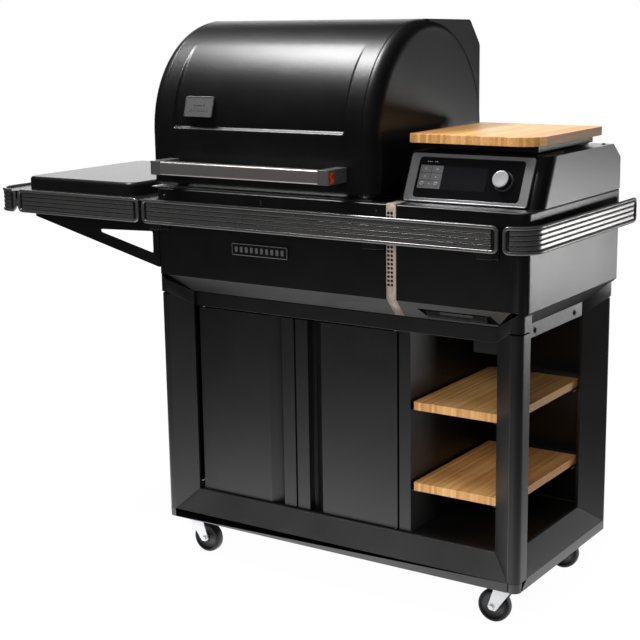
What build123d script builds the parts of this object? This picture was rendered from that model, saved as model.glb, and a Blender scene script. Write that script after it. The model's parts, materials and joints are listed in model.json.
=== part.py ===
"""Pellet smoker grill on a cabinet cart.

Millimetres. +X is to the right of somebody facing the grill, -Y is the front, +Z is up.
The origin is on the floor under the middle of the whole grill.
"""

from build123d import *
import os
from math import atan2, cos, degrees, hypot, radians, sin

# ---------------------------------------------------------------- driving sizes
WIDTH, DEPTH, HEIGHT = 1499.0, 635.0, 1295.0
SHEET = 2.5  # folded steel sheet
GAP = 0.3  # between faces of different bodies

# Cart: the cabinet under the grill
CART_LEFT, CART_RIGHT = -244.0, 710.0
CART_FRONT, CART_BACK = -260.0, 210.0
CART_BOTTOM, POST_TOP = 97.0, 660.0
BEVEL_DEPTH, BEVEL_RISE = 36.0, 48.0  # picture-frame bevel round every opening
RAIL_DEPTH, LIP_HEIGHT = 44.0, 21.5
POST_FACE, POST_WIDTH = 24.5, 72.5
REAR_POST_WIDTH, REAR_POST_FACE = 76.0, 8.0
FRONT_ROUND, REAR_ROUND = 15.0, 5.0  # rounding of the cart's upright corners
FOOT_GAP, FOOT_GROOVE = 2.0, 3.0  # grooves beside the feet of the front posts
LIP_TOP = CART_BOTTOM + LIP_HEIGHT
BEVEL_TOP = LIP_TOP + BEVEL_RISE
HEADER_BOTTOM, HEADER_TOP, HEADER_DEEP = 628.0, 662.0, 18.0
CAP_LOW, CAP_SHOULDER = 631.0, 664.0  # feet of a post cap, inner and outer
FLOOR_TOP = 165.5
BACK_SET = 12.0  # back panel in from the cart's back
DIVIDER_RIGHT = 422.5
STILE_LEFT, STILE_DEEP = 393.5, 14.0
CORNERS = [(right, front) for front in (True, False) for right in (False, True)]

# Bamboo shelves in the open bay
SHELF_TOPS = (287.0, 473.0)
SHELF_THICK = 19.0
SHELF_X = (429.5, 660.5)
SHELF_Y = (-215.5, 154.5)
CLEAT_WIDTH = 40.0
CATCH, CATCH_DROP = (577.0, 636.0), 25.0  # small box hung under the front header

# Doors
DOOR_FRONT, DOOR_THICK = -214.5, 26.0
DOOR_BOTTOM, DOOR_TOP = 168.0, 625.0
LEFT_DOOR = (-162.5, 112.0)
RIGHT_DOOR = (116.5, 388.5)
PULL_STRIP, PULL_WIDTH, PULL_DEPTH = 34.0, 37.0, 21.0
DOOR_PIVOT_IN, DOOR_PIVOT_BACK = 8.5, 8.5
DOOR_PIN, DOOR_PIN_LENGTH = 4.0, 26.0
DOOR_FACE = 1.5
SLACK = 0.05  # between a pin and its bore

# Grill casing
CASE_LEFT, CASE_RIGHT = -249.0, 720.0
CASE_FRONT, CASE_BACK = -260.5, 219.5
CASE_BAND, CASE_BOTTOM, CASE_TOP = 665.0, 706.0, 912.0
CASE_CORNER, CASE_REAR_CORNER, CASE_EDGE = 18.0, 5.0, 4.0
CLEANOUT = (457.0, 633.0, 670.5, 691.0)  # x, x, z, z of the clean-out recess
STRIP_LEFT, STRIP_RIGHT, STRIP_BACK = 390.5, 414.5, -212.0

# Cooking chamber and hood
HOOD_LEFT, HOOD_RIGHT = -273.0, 353.0
HOOD_FRONT, HOOD_BACK = -244.0, 260.0
HOOD_BASE, HOOD_SPRING = 919.0, 1043.0
HOOD_RADIUS = (HOOD_BACK - HOOD_FRONT) / 2
HOOD_MID = (HOOD_BACK + HOOD_FRONT) / 2
HOOD_EDGE = 30.0  # rounding of the two end caps
SCOOP_LEFT, SCOOP_RIGHT, SCOOP_BASE, SCOOP_DEPTH = -203.0, 277.0, 1056.0, 9.0
HINGE_Y, HINGE_Z = 268.0, 912.0
HOOD_HINGE_X = (-170.0, 250.0)
HINGE_PIN, KNUCKLE = 3.0, 6.0
LEAF = 12.0  # half width of a moving hinge leaf
LINER_GAP = 22.0  # between the hood's skin and its inner barrel
HANDLE_FRONT, HANDLE_LOW, HANDLE_HIGH = -317.5, 951.0, 982.0
HANDLE_X = (-212.0, 281.0)
HANDLE_END, HANDLE_DEEP = 28.0, 25.0

# Inside the chamber
CHAMBER = (-243.0, 333.0, -228.0, 200.0)  # opening of the cooking chamber
TROUGH_LOW, TROUGH_ROUND = 745.0, 90.0
AUGER_Y, AUGER_Z = -14.0, 800.0
FIRE_X = 46.0
POT_RADIUS, POT_LOW, POT_HIGH = 55.0, 747.0, 838.0
BAFFLE_LOW, BAFFLE_RIDGE = 846.0, 858.0
TRAY_LOW, TRAY_HIGH = 868.0, 886.0
GRATE_LOW, GRATE_MID, GRATE_TOP, GRATE_BARS = 896.0, 902.0, 907.0, 26

# Hopper
HOPPER_LEFT, HOPPER_TOP = 392.0, 1016.0
PANEL_LEFT, PANEL_RIGHT = 397.5, 688.5
PANEL_FOOT = (-200.0, 912.0)
PANEL_HEAD = (-153.0, 1012.0)
PANEL_LENGTH = hypot(PANEL_HEAD[0] - PANEL_FOOT[0], PANEL_HEAD[1] - PANEL_FOOT[1])
PANEL_LEAN = degrees(atan2(PANEL_HEAD[0] - PANEL_FOOT[0], PANEL_HEAD[1] - PANEL_FOOT[1]))
LID = (402.0, 689.0, -150.0, 130.0)
LID_BOTTOM, LID_TOP = 1017.0, 1036.0
BOARD = (399.5, 700.5, -182.5, 160.5)
BOARD_THICK = 19.5
BIN = (412.0, 684.0, -146.0, 126.0)
BIN_SHOULDER, THROAT_LOW = 960.0, 832.0
LID_HINGE = (166.0, 1024.0)
WINDOW_WIDTH, WINDOW_HEIGHT = 250.0, 92.0
KNOB = (625.5, 55.0)
KNOB_RADIUS, KNOB_DEEP, KNOB_FOOT = 20.0, 14.0, 8.5
PROBE_X, PROBE_UP = (433.5, 467.5), 41.5
TUBE_RADIUS, SCREW_RADIUS, SCREW_PITCH = 30.0, 24.5, 45.0

# Rails
RAIL_LOW, RAIL_HIGH, ROD = 832.0, 890.0, 8.0
RAIL_PLANE = -297.5  # rod centres of the front rails
RAIL_BEND = 57.0
RAIL_BACK = 255.0
RAIL_ROUND, RIDGES = 14.0, 4
RIGHT_OUTER, LEFT_OUTER = WIDTH / 2, -WIDTH / 2

# Side shelf
SHELF_LEFT, SHELF_RIGHT = -735.0, -250.0
SHELF_FRONT, SHELF_BACK = -285.0, 222.0
SHELF_TOP, SHELF_DEEP = 884.0, 22.0
COVER = (-692.0, -334.5, -241.5, 202.0)
COVER_TOP, COVER_EDGE = 916.0, 9.0

# Grease keg and exhaust
KEG_Y, KEG_RADIUS, KEG_LOW, KEG_TOP = -40.0, 78.0, 490.0, 646.0
DUCT_LEFT, DUCT_RIGHT, DUCT_LOW = -240.0, 320.0, 800.0

# Casters
WHEEL_RADIUS, WHEEL_WIDTH = 37.5, 26.0
CASTER_TRAIL = 28.0
CASTER_X = (-193.0, 657.0)
CASTER_Y = (-203.0, 160.0)
SWIVEL_PIN, AXLE = 8.0, 4.0
CROWN_LOW = CART_BOTTOM - 12
BRAKE_Z = CART_BOTTOM - 17

NODES = {}


# ---------------------------------------------------------------- helpers
def block(x0, x1, y0, y1, z0, z1):
    """A box between two corners."""
    return Pos((x0 + x1) / 2, (y0 + y1) / 2, (z0 + z1) / 2) * Box(x1 - x0, y1 - y0, z1 - z0)


def outline(*points):
    """A polygon whose face always looks the same way, however its points run round."""
    pairs = zip(points, points[1:] + points[:1])
    area = sum(a[0] * b[1] - b[0] * a[1] for a, b in pairs)
    return Polygon(*(points if area > 0 else points[::-1]), align=None)


def rounded(sketch, *corners):
    """Rounds the corners of a sketch; each corner is (u, v, radius)."""
    for u, v, radius in corners:
        sketch = fillet(sketch.vertices().sort_by_distance((u, v, 0))[0], radius)
    return sketch


def along_x(sketch, x0, x1):
    """Extrudes a sketch drawn in (Y, Z) from x0 to x1."""
    return extrude(Plane.YZ.offset(x0) * sketch, x1 - x0)


def along_y(sketch, y0, y1):
    """Extrudes a sketch drawn in (X, Z) from y0 to y1."""
    plane = Plane((0, y1, 0), x_dir=(1, 0, 0), z_dir=(0, -1, 0))
    return extrude(plane * sketch, y1 - y0)


def along_z(sketch, z0, z1):
    """Extrudes a sketch drawn in (X, Y) from z0 to z1."""
    return extrude(Plane.XY.offset(z0) * sketch, z1 - z0)


def rod_x(y, z, radius, x0, x1):
    return Pos((x0 + x1) / 2, y, z) * Rot(0, 90, 0) * Cylinder(radius, x1 - x0)


def rod_y(x, z, radius, y0, y1):
    return Pos(x, (y0 + y1) / 2, z) * Rot(90, 0, 0) * Cylinder(radius, y1 - y0)


def rod_z(x, y, radius, z0, z1):
    return Pos(x, y, (z0 + z1) / 2) * Cylinder(radius, z1 - z0)


def joined(parts):
    """One compound of separate solids."""
    solids = [solid for part in parts for solid in part.solids()]
    return Compound(children=solids) if len(solids) > 1 else solids[0]


def node(name, *parts):
    NODES[name] = joined(parts)


def on_panel(x, up, out=0.0):
    """A place on the sloping control panel: up its slope, and out from its face."""
    lean = radians(PANEL_LEAN)
    y = PANEL_FOOT[0] + up * sin(lean) - out * cos(lean)
    z = PANEL_FOOT[1] + up * cos(lean) + out * sin(lean)
    return Plane((x, y, z), x_dir=(1, 0, 0), z_dir=(0, -cos(lean), sin(lean)))


# ---------------------------------------------------------------- cart frame
def rail_profile():
    """Bottom rail: inward distance and height, a lip with a bevel above it."""
    return [(0, CART_BOTTOM), (0, LIP_TOP), (BEVEL_DEPTH, BEVEL_TOP), (RAIL_DEPTH, BEVEL_TOP),
            (RAIL_DEPTH, CART_BOTTOM)]


def bottom_rails():
    """Four mitred rails, hollow, in one ring."""
    profile = rail_profile()
    lip, top = LIP_TOP, BEVEL_TOP
    x0, x1, y0, y1 = CART_LEFT, CART_RIGHT, CART_FRONT, CART_BACK
    d = RAIL_DEPTH
    face_limit = outline(
        (x0, CART_BOTTOM), (x0, lip), (x0 + POST_FACE, lip), (x0 + POST_WIDTH, top),
        (x1 - POST_WIDTH, top), (x1 - POST_FACE, lip), (x1, lip), (x1, CART_BOTTOM),
    )
    side_limit = outline(
        (y0, CART_BOTTOM), (y0, lip), (y0 + d, lip), (y0 + d, top),
        (y1 - REAR_POST_WIDTH, top), (y1 - REAR_POST_FACE, lip), (y1, lip), (y1, CART_BOTTOM),
    )
    back_limit = outline(
        (x0, CART_BOTTOM), (x0, lip), (x0 + d, lip), (x0 + d, top),
        (x1 - d, top), (x1 - d, lip), (x1, lip), (x1, CART_BOTTOM),
    )
    plans = {
        "front": outline((x0, y0), (x1, y0), (x1 - d, y0 + d), (x0 + d, y0 + d)),
        "back": outline((x0, y1), (x0 + d, y1 - d), (x1 - d, y1 - d), (x1, y1)),
        "right": outline((x1, y0), (x1, y1), (x1 - d, y1 - d), (x1 - d, y0 + d)),
        "left": outline((x0, y0), (x0 + d, y0 + d), (x0 + d, y1 - d), (x0, y1)),
    }
    hollow = [(SHEET, CART_BOTTOM + SHEET), (SHEET, lip), (BEVEL_DEPTH, top - SHEET - 1),
              (d - SHEET, top - SHEET), (d - SHEET, CART_BOTTOM + SHEET)]

    def runs(points, side, ends):
        if side in ("front", "back"):
            start, sign = (y0, 1) if side == "front" else (y1, -1)
            sketch = outline(*[(start + sign * b, z) for b, z in points])
            return along_x(sketch, x0 + ends, x1 - ends)
        start, sign = (x1, -1) if side == "right" else (x0, 1)
        sketch = outline(*[(start + sign * b, z) for b, z in points])
        return along_y(sketch, y0 + ends, y1 - ends)

    rails = []
    for side, plan in plans.items():
        limit = {"front": along_y(face_limit, y0, y1), "back": along_y(back_limit, y0, y1)}.get(side)
        if limit is None:
            limit = along_x(side_limit, x0, x1)
        solid = runs(profile, side, 0) & along_z(plan, CART_BOTTOM, top) & limit
        rails.append(solid - runs(hollow, side, REAR_POST_WIDTH + 4))
    border = outline((x0, y0), (x1, y0), (x1, y1), (x0, y1))
    border = rounded(border, (x0, y0, FRONT_ROUND), (x1, y0, FRONT_ROUND), (x0, y1, REAR_ROUND),
                     (x1, y1, REAR_ROUND))
    slots = []
    near, far = POST_FACE - FOOT_GAP, POST_FACE
    for corner, sign in ((x0, 1), (x1, -1)):
        low, high = sorted((corner + sign * near, corner + sign * far))
        slots.append(block(low, high, y0 - 1, y0 + FOOT_GROOVE, CART_BOTTOM - 1, lip - 1))
        low, high = sorted((corner - sign, corner + sign * FOOT_GROOVE))
        slots.append(block(low, high, y0 + near, y0 + far, CART_BOTTOM - 1, lip - 1))
    return [(rail & along_z(border, CART_BOTTOM, top)) - slots for rail in rails]


def post_outline(right, front, grow=0.0):
    """Plan of a corner post; grow makes the sleeve that fits over it."""
    if front:
        points = [(0, 0), (0, RAIL_DEPTH), (POST_WIDTH, RAIL_DEPTH),
                  (POST_WIDTH, BEVEL_DEPTH), (POST_FACE, 0)]
    else:
        points = [(0, 0), (0, REAR_POST_FACE), (BEVEL_DEPTH, REAR_POST_WIDTH),
                  (RAIL_DEPTH, REAR_POST_WIDTH), (RAIL_DEPTH, 0)]
    corner_x, sign_x = (CART_RIGHT, -1) if right else (CART_LEFT, 1)
    corner_y, sign_y = (CART_FRONT, 1) if front else (CART_BACK, -1)
    sketch = outline(*[(corner_x + sign_x * a, corner_y + sign_y * b) for a, b in points])
    sketch = rounded(sketch, (corner_x, corner_y, FRONT_ROUND if front else REAR_ROUND))
    return offset(sketch, grow, kind=Kind.INTERSECTION) if grow else sketch


def cart_frame():
    node("bottom_rails", *bottom_rails())
    posts, sleeves = [], []
    lip, top = LIP_TOP, BEVEL_TOP
    x0, x1, y0, y1, d = CART_LEFT, CART_RIGHT, CART_FRONT, CART_BACK, RAIL_DEPTH
    front_under = along_y(
        outline((x0 + POST_FACE, lip), (x0 + POST_WIDTH + 1, lip), (x0 + POST_WIDTH + 1, top + 1),
                (x0 + POST_WIDTH, top)), y0, y0 + d + 1)
    front_under += along_y(
        outline((x1 - POST_FACE, lip), (x1 - POST_WIDTH - 1, lip), (x1 - POST_WIDTH - 1, top + 1),
                (x1 - POST_WIDTH, top)), y0, y0 + d + 1)
    rear_under = along_x(
        outline((y1 - REAR_POST_FACE, lip), (y1 - REAR_POST_WIDTH - 1, lip),
                (y1 - REAR_POST_WIDTH - 1, top + 1),
                (y1 - REAR_POST_WIDTH, top)), x0, x1)
    for right, front in CORNERS:
        plan = post_outline(right, front)
        core = offset(plan, -SHEET, kind=Kind.INTERSECTION)
        post = along_z(plan, lip, POST_TOP) - along_z(core, top + 4, POST_TOP)
        post -= front_under if front else rear_under
        posts.append(post)
        sleeves.append(post_cap(right, front))
    node("corner_posts", *posts)
    node("post_caps", *sleeves)


def cap_zone(right, front):
    """The wedge at a top corner that the cap fills, from inner foot to casing."""
    margin = 3.0
    if front:
        corner, sign = (CART_RIGHT, -1) if right else (CART_LEFT, 1)
        inner, face = POST_WIDTH + 2.2, POST_FACE
        points = [(-margin, CAP_SHOULDER), (-margin, CASE_BOTTOM), (3, CASE_BOTTOM), (inner, CASE_BAND),
                  (inner, CAP_LOW), (face, CAP_SHOULDER)]
        sketch = outline(*[(corner + sign * a, z) for a, z in points])
        return along_y(sketch, CART_FRONT - margin, CART_FRONT + RAIL_DEPTH)
    inner = REAR_POST_WIDTH + 2.2
    points = [(-margin, CAP_SHOULDER), (-margin, CASE_BOTTOM), (3, CASE_BOTTOM), (inner, CASE_BAND),
              (inner, CAP_LOW), (REAR_POST_FACE, CAP_SHOULDER)]
    sketch = outline(*[(CART_BACK - a, z) for a, z in points])
    x0, x1 = (CART_RIGHT - RAIL_DEPTH, CART_RIGHT + margin)
    if not right:
        x0, x1 = (CART_LEFT - margin, CART_LEFT + RAIL_DEPTH)
    return along_x(sketch, x0, x1)


def post_cap(right, front):
    """Sleeve over the top of a post, cut to the slope of the casing's bevel."""
    sleeve = along_z(post_outline(right, front, 2.0), CAP_LOW - 1, CASE_BOTTOM) & cap_zone(right, front)
    sleeve -= along_z(post_outline(right, front), CAP_LOW - 30, POST_TOP)
    sleeve -= along_z(offset(post_outline(right, front), -4), POST_TOP, CASE_BOTTOM - 6)
    return max(sleeve.solids(), key=lambda solid: solid.volume)


def headers():
    """Flat bars round the top of the cabinet, set back behind the bevels."""
    x0, x1 = CART_LEFT + RAIL_DEPTH + GAP, CART_RIGHT - RAIL_DEPTH - GAP
    y0, y1 = CART_FRONT + RAIL_DEPTH + 1, CART_BACK - REAR_POST_WIDTH - 3
    side = CART_RIGHT - BEVEL_DEPTH
    left_side = CART_LEFT + BEVEL_DEPTH
    back_y = CART_BACK - BACK_SET
    z0, z1 = HEADER_BOTTOM, HEADER_TOP
    front = block(CART_LEFT + RAIL_DEPTH + 12, side - HEADER_DEEP - 2, y0, y0 + HEADER_DEEP, z0, z1)
    right = block(side - HEADER_DEEP, side, y0, y1, z0, z1)
    left = block(left_side, left_side + HEADER_DEEP, y0, y1, z0, z1)
    back = block(x0 + 12, x1 - 12, back_y - HEADER_DEEP, back_y, z0, z1)
    bars = []
    for bar in (front, right, left, back):
        box = bar.bounding_box()
        inner = block(box.min.X + SHEET, box.max.X - SHEET, box.min.Y + SHEET, box.max.Y - SHEET,
                      HEADER_BOTTOM + SHEET, HEADER_TOP + 1)
        bars.append(bar - inner)
    node("header_rails", *bars)


def cabinet_panels():
    x0, x1 = CART_LEFT + RAIL_DEPTH, CART_RIGHT - RAIL_DEPTH
    y0, y1 = CART_FRONT + RAIL_DEPTH, CART_BACK - RAIL_DEPTH
    floor = block(x0, x1, y0, y1, FLOOR_TOP - SHEET, FLOOR_TOP)
    for x in (x0, x1 - SHEET):
        floor += block(x, x + SHEET, y0, y1, CART_BOTTOM, FLOOR_TOP - SHEET)
    node("floor_panel", floor)

    back_y = CART_BACK - BACK_SET
    back_low = LIP_TOP + BEVEL_RISE * BACK_SET / BEVEL_DEPTH + GAP  # on the slope of the rear rail
    node("back_panel", block(x0 + GAP, x1 - GAP, back_y, back_y + SHEET, back_low, HEADER_BOTTOM))
    left = block(CART_LEFT + BEVEL_DEPTH, CART_LEFT + BEVEL_DEPTH + SHEET, CART_FRONT + RAIL_DEPTH + 1,
                 CART_BACK - REAR_POST_WIDTH - 1, BEVEL_TOP + 1.5, HEADER_BOTTOM)
    node("left_side_panel", left)

    low = BEVEL_TOP
    wall = block(DIVIDER_RIGHT - SHEET, DIVIDER_RIGHT, DOOR_FRONT, back_y, low, HEADER_BOTTOM)
    wall += block(STILE_LEFT, DIVIDER_RIGHT, DOOR_FRONT, DOOR_FRONT + SHEET, low, HEADER_BOTTOM)
    wall += block(STILE_LEFT, STILE_LEFT + SHEET, DOOR_FRONT, DOOR_FRONT + STILE_DEEP, low, HEADER_BOTTOM)
    for top in SHELF_TOPS:
        wall += block(DIVIDER_RIGHT, DIVIDER_RIGHT + 25, SHELF_Y[0] + 4, SHELF_Y[1] - 4,
                      top - SHELF_THICK - SHEET, top - SHELF_THICK)
    node("divider_panel", wall)


def shelves():
    boards = []
    for top in SHELF_TOPS:
        plan = outline((SHELF_X[0], SHELF_Y[0]), (SHELF_X[1], SHELF_Y[0]),
                       (SHELF_X[1], SHELF_Y[1]), (SHELF_X[0], SHELF_Y[1]))
        plan = fillet(plan.vertices(), 5)
        boards.append(along_z(plan, top - SHELF_THICK, top))
    node("bamboo_shelves", *boards)
    cleats = []
    for top in SHELF_TOPS:
        low = top - SHELF_THICK - SHEET
        side = CART_RIGHT - RAIL_DEPTH
        for y0, y1 in ((CART_FRONT + RAIL_DEPTH, -170.0), (110.0, CART_BACK - RAIL_DEPTH)):
            cleats.append(block(side - CLEAT_WIDTH, side, y0, y1, low, low + SHEET))
    y0 = CART_FRONT + RAIL_DEPTH + 1
    cleats.append(fillet(block(*CATCH, y0, y0 + HEADER_DEEP, HEADER_BOTTOM - CATCH_DROP, HEADER_BOTTOM)
                         .edges().filter_by(Axis.Y), 2))
    return cleats


# ---------------------------------------------------------------- doors
def door(x0, x1, hinge_left):
    """Folded pan with a finger-pull channel beside its free edge."""
    y0, y1 = DOOR_FRONT, DOOR_FRONT + DOOR_THICK
    sign = 1 if hinge_left else -1
    free, hung = (x1, x0) if hinge_left else (x0, x1)
    strip = free - sign * PULL_STRIP
    panel = strip - sign * PULL_WIDTH
    plan = outline((x0, y0), (x1, y0), (x1, y1), (x0, y1))
    plan -= outline((strip, y0 - 1), (strip, y0 + PULL_DEPTH), (strip - sign * 10, y0 + PULL_DEPTH),
                    (panel, y0), (panel, y0 - 1))
    body = along_z(plan, DOOR_BOTTOM, DOOR_TOP)
    inside = sorted((hung + sign * SHEET, panel - sign * SHEET * 2))
    body -= block(*inside, y0 + DOOR_FACE, y1 + 1, DOOR_BOTTOM + SHEET, DOOR_TOP - SHEET)
    inside = sorted((strip + sign * SHEET, free - sign * SHEET))
    body -= block(*inside, y0 + DOOR_FACE, y1 + 1, DOOR_BOTTOM + SHEET, DOOR_TOP - SHEET)
    pivot_x, pivot_y = hung + sign * DOOR_PIVOT_IN, y0 + DOOR_PIVOT_BACK
    near = sorted((hung, hung + sign * 22))
    for z0, z1 in ((DOOR_BOTTOM, DOOR_BOTTOM + 32), (DOOR_TOP - 32, DOOR_TOP)):
        body += block(*near, y0, y1 - 4, z0, z1)
    bore = DOOR_PIN_LENGTH + 2
    for z0, z1 in ((DOOR_BOTTOM - 1, DOOR_BOTTOM + bore), (DOOR_TOP - bore, DOOR_TOP + 1)):
        body -= rod_z(pivot_x, pivot_y, DOOR_PIN + SLACK, z0, z1)
    return body, (pivot_x, pivot_y)


def doors():
    left, left_pivot = door(*LEFT_DOOR, True)
    right, right_pivot = door(*RIGHT_DOOR, False)
    node("left_door", left)
    node("right_door", right)
    pins = []
    for x, y in (left_pivot, right_pivot):
        pins.append(rod_z(x, y, DOOR_PIN, FLOOR_TOP, DOOR_BOTTOM + DOOR_PIN_LENGTH))
        pins.append(rod_z(x, y, DOOR_PIN, DOOR_TOP - DOOR_PIN_LENGTH, HEADER_BOTTOM))
    return pins


# ---------------------------------------------------------------- casing
def frustum(inset, top, lift=0.0):
    """The casing's bevelled underside; inset is the sheet thickness taken off."""
    def face(low, high):
        foot = BEVEL_DEPTH + inset
        return [(low + inset, top), (low + inset, CASE_BOTTOM), (low + foot, CASE_BAND + lift),
                (high - foot, CASE_BAND + lift), (high - inset, CASE_BOTTOM), (high - inset, top)]

    across = along_x(outline(*face(CASE_FRONT, CASE_BACK)), CASE_LEFT, CASE_RIGHT)
    length = along_y(outline(*face(CASE_LEFT, CASE_RIGHT)), CASE_FRONT, CASE_BACK)
    solid = across & length
    x0, x1, y0, y1 = CASE_LEFT + inset, CASE_RIGHT - inset, CASE_FRONT + inset, CASE_BACK - inset
    near, far = CASE_CORNER - inset, CASE_REAR_CORNER - inset
    plan = rounded(outline((x0, y0), (x1, y0), (x1, y1), (x0, y1)), (x0, y0, near), (x1, y0, near),
                   (x0, y1, far), (x1, y1, far))
    return solid & along_z(plan, CASE_BAND - 1, top)


def casing():
    outer = frustum(0, CASE_TOP)
    outer = fillet(outer.faces().sort_by(Axis.Z)[-1].edges(), CASE_EDGE)
    shell = outer - frustum(SHEET, CASE_TOP - SHEET, SHEET)
    shell -= block(CHAMBER[0], CHAMBER[1], CHAMBER[2], CHAMBER[3], 880, CASE_TOP + 1)
    shell -= block(HOPPER_LEFT + 20, CASE_RIGHT - 20, -180, 190, 880, CASE_TOP + 1)
    shell -= block(-50, 142, -140, 60, CASE_BAND - 1, CASE_BAND + SHEET + 1)
    mouth = outline((CLEANOUT[0], CLEANOUT[3]), (CLEANOUT[1], CLEANOUT[3]),
                    (CLEANOUT[1] + 14, CLEANOUT[2]), (CLEANOUT[0] + 18, CLEANOUT[2]))
    shell -= along_y(mouth, CASE_FRONT - 1, CASE_FRONT + BEVEL_DEPTH + 6)
    for right, front in CORNERS:
        shell -= cap_zone(right, front)
        plan = offset(post_outline(right, front), 1.0)
        shell -= along_z(plan, CASE_BAND - 2, CASE_BOTTOM)
    shell = max(shell.solids(), key=lambda solid: solid.volume)
    node("body_shell", shell)

    front, top = CASE_FRONT - 1.2, CASE_TOP + 1.2
    strip = block(STRIP_LEFT, STRIP_RIGHT, front, front + 1, CASE_BOTTOM + 4, top)
    strip += block(STRIP_LEFT, STRIP_RIGHT, front, STRIP_BACK, top - 1, top)
    node("bronze_strip", strip)

    plate = along_y(RectangleRounded(155, 27, 3), 0, 4)
    plate -= along_y(RectangleRounded(149, 21, 2), -1, 1.2)
    node("nameplate", Pos(56, CASE_FRONT - 4.2, 784.5) * plate)


def cooking_chamber():
    """Lower half of the barrel: a trough with a wide rim under the hood."""
    x0, x1, y0, y1 = (CHAMBER[0] + 3, CHAMBER[1] - 3, CHAMBER[2] + 3, CHAMBER[3] - 3)
    low = TROUGH_LOW

    def section(inset):
        shape = outline((y0 + inset, CASE_TOP + 6), (y0 + inset, low + inset), (y1 - inset, low + inset),
                        (y1 - inset, CASE_TOP + 6))
        bend = TROUGH_ROUND - inset
        return rounded(shape, (y0 + inset, low + inset, bend), (y1 - inset, low + inset, bend))

    trough = along_x(section(0), x0, x1) - along_x(section(2), x0 + 2, x1 - 2)
    rim = block(HOOD_LEFT + 8, HOOD_RIGHT - 8, CASE_FRONT + 8, HOOD_BACK - 6, CASE_TOP + 0.2, CASE_TOP + 2.7)
    rim -= block(x0 + 2, x1 - 2, y0 + 2, y1 - 2, CASE_TOP - 1, CASE_TOP + 4)
    trough = trough & block(x0, x1, y0, y1, low - 1, CASE_TOP + 2.7)
    trough += rim
    for y in (-130, 80):
        for wall, tip in ((x0 + 1, x0 + 14), (x1 - 1, x1 - 14)):
            low_x, high_x = sorted((wall, tip))
            trough += block(low_x, high_x, y, y + 24, GRATE_LOW - 6, GRATE_LOW)
            low_x, high_x = sorted((wall, 2 * tip - wall))
            trough += block(low_x, high_x, y, y + 24, TRAY_LOW - 6, TRAY_LOW)
    trough -= rod_x(AUGER_Y, AUGER_Z, TUBE_RADIUS + 1, FIRE_X + 60, x1 + 5)
    trough -= rod_z(FIRE_X, AUGER_Y, 22, low - 5, low + 5)
    trough -= block(20, 60, y1 - 5, y1 + 5, 850, 880)
    node("cook_chamber", trough)


def burner():
    """Fire pot, heat baffle, drip tray and grate inside the chamber."""
    pot = rod_z(FIRE_X, AUGER_Y, POT_RADIUS, POT_LOW, POT_HIGH)
    pot -= rod_z(FIRE_X, AUGER_Y, POT_RADIUS - 3, POT_LOW + 4, POT_HIGH + 2)
    pot -= rod_x(AUGER_Y, AUGER_Z, 25, FIRE_X + 40, FIRE_X + 60)
    node("fire_pot", pot)
    low, ridge = BAFFLE_LOW, BAFFLE_RIDGE
    baffle = outline((-150, low), (60, ridge), (270, low), (270, low + 2), (60, ridge + 2), (-150, low + 2))
    roof = along_y(baffle, -150, 130)
    for x in (-140, 230):
        for y in (-130, 90):
            roof += block(x, x + 12, y, y + 12, POT_LOW, low + 2.5)
    node("heat_baffle", roof)
    x0, x1, y0, y1 = CHAMBER[0] + 12, CHAMBER[1] - 12, CHAMBER[2] + 12, CHAMBER[3] - 12
    tray = block(x0 + 7, x1 - 7, y0, y1, TRAY_LOW, TRAY_HIGH)
    tray -= block(x0 + 9, x1 - 9, y0 + 2, y1 - 2, TRAY_LOW + 2, TRAY_HIGH + 4)
    node("drip_tray", tray)
    grate = block(x0, x1, y0, y1, GRATE_LOW, GRATE_MID)
    for low_y, high_y in ((y0 + 6, (y0 + y1) / 2 - 3), ((y0 + y1) / 2 + 3, y1 - 6)):
        grate -= block(x0 + 6, x1 - 6, low_y, high_y, GRATE_LOW - 1, GRATE_MID + 1)
    for index in range(1, GRATE_BARS + 1):
        x = x0 + (x1 - x0) * index / (GRATE_BARS + 1)
        grate += block(x - 2.5, x + 2.5, y0, y1, GRATE_MID, GRATE_TOP)
    node("cooking_grate", grate)


# ---------------------------------------------------------------- hood
def arch(radius, base):
    """Upright legs under a half round; drawn in (Y, Z)."""
    y0, y1 = HOOD_MID - radius, HOOD_MID + radius
    top = ThreePointArc((y0, HOOD_SPRING), (HOOD_MID, HOOD_SPRING + radius), (y1, HOOD_SPRING))
    legs = Polyline((y1, HOOD_SPRING), (y1, base), (y0, base), (y0, HOOD_SPRING))
    return make_face(top.edges() + legs.edges())


def duct_profile(inset, base):
    """The squared rear of the hood behind the arch; drawn in (Y, Z)."""
    back, top = HOOD_BACK - inset, HOOD_SPRING + HOOD_RADIUS - inset
    lean = inset * 0.4
    return outline((HOOD_MID, base), (HOOD_MID, top), (212 - lean, top - 4), (back, 1233 - lean),
                   (back, base))


def hood_solid(inset, base):
    body = along_x(arch(HOOD_RADIUS - inset, base), HOOD_LEFT + inset, HOOD_RIGHT - inset)
    rims = [edge for edge in body.edges() if abs(edge.center().Z - base) > 1 and not is_lengthwise(edge)]
    body = fillet(rims, HOOD_EDGE - inset)
    duct = along_x(duct_profile(inset, base), HOOD_LEFT + 22 + inset, HOOD_RIGHT - 22 - inset)
    return body + duct


def is_lengthwise(edge):
    box = edge.bounding_box()
    return box.size.X > 100


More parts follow.
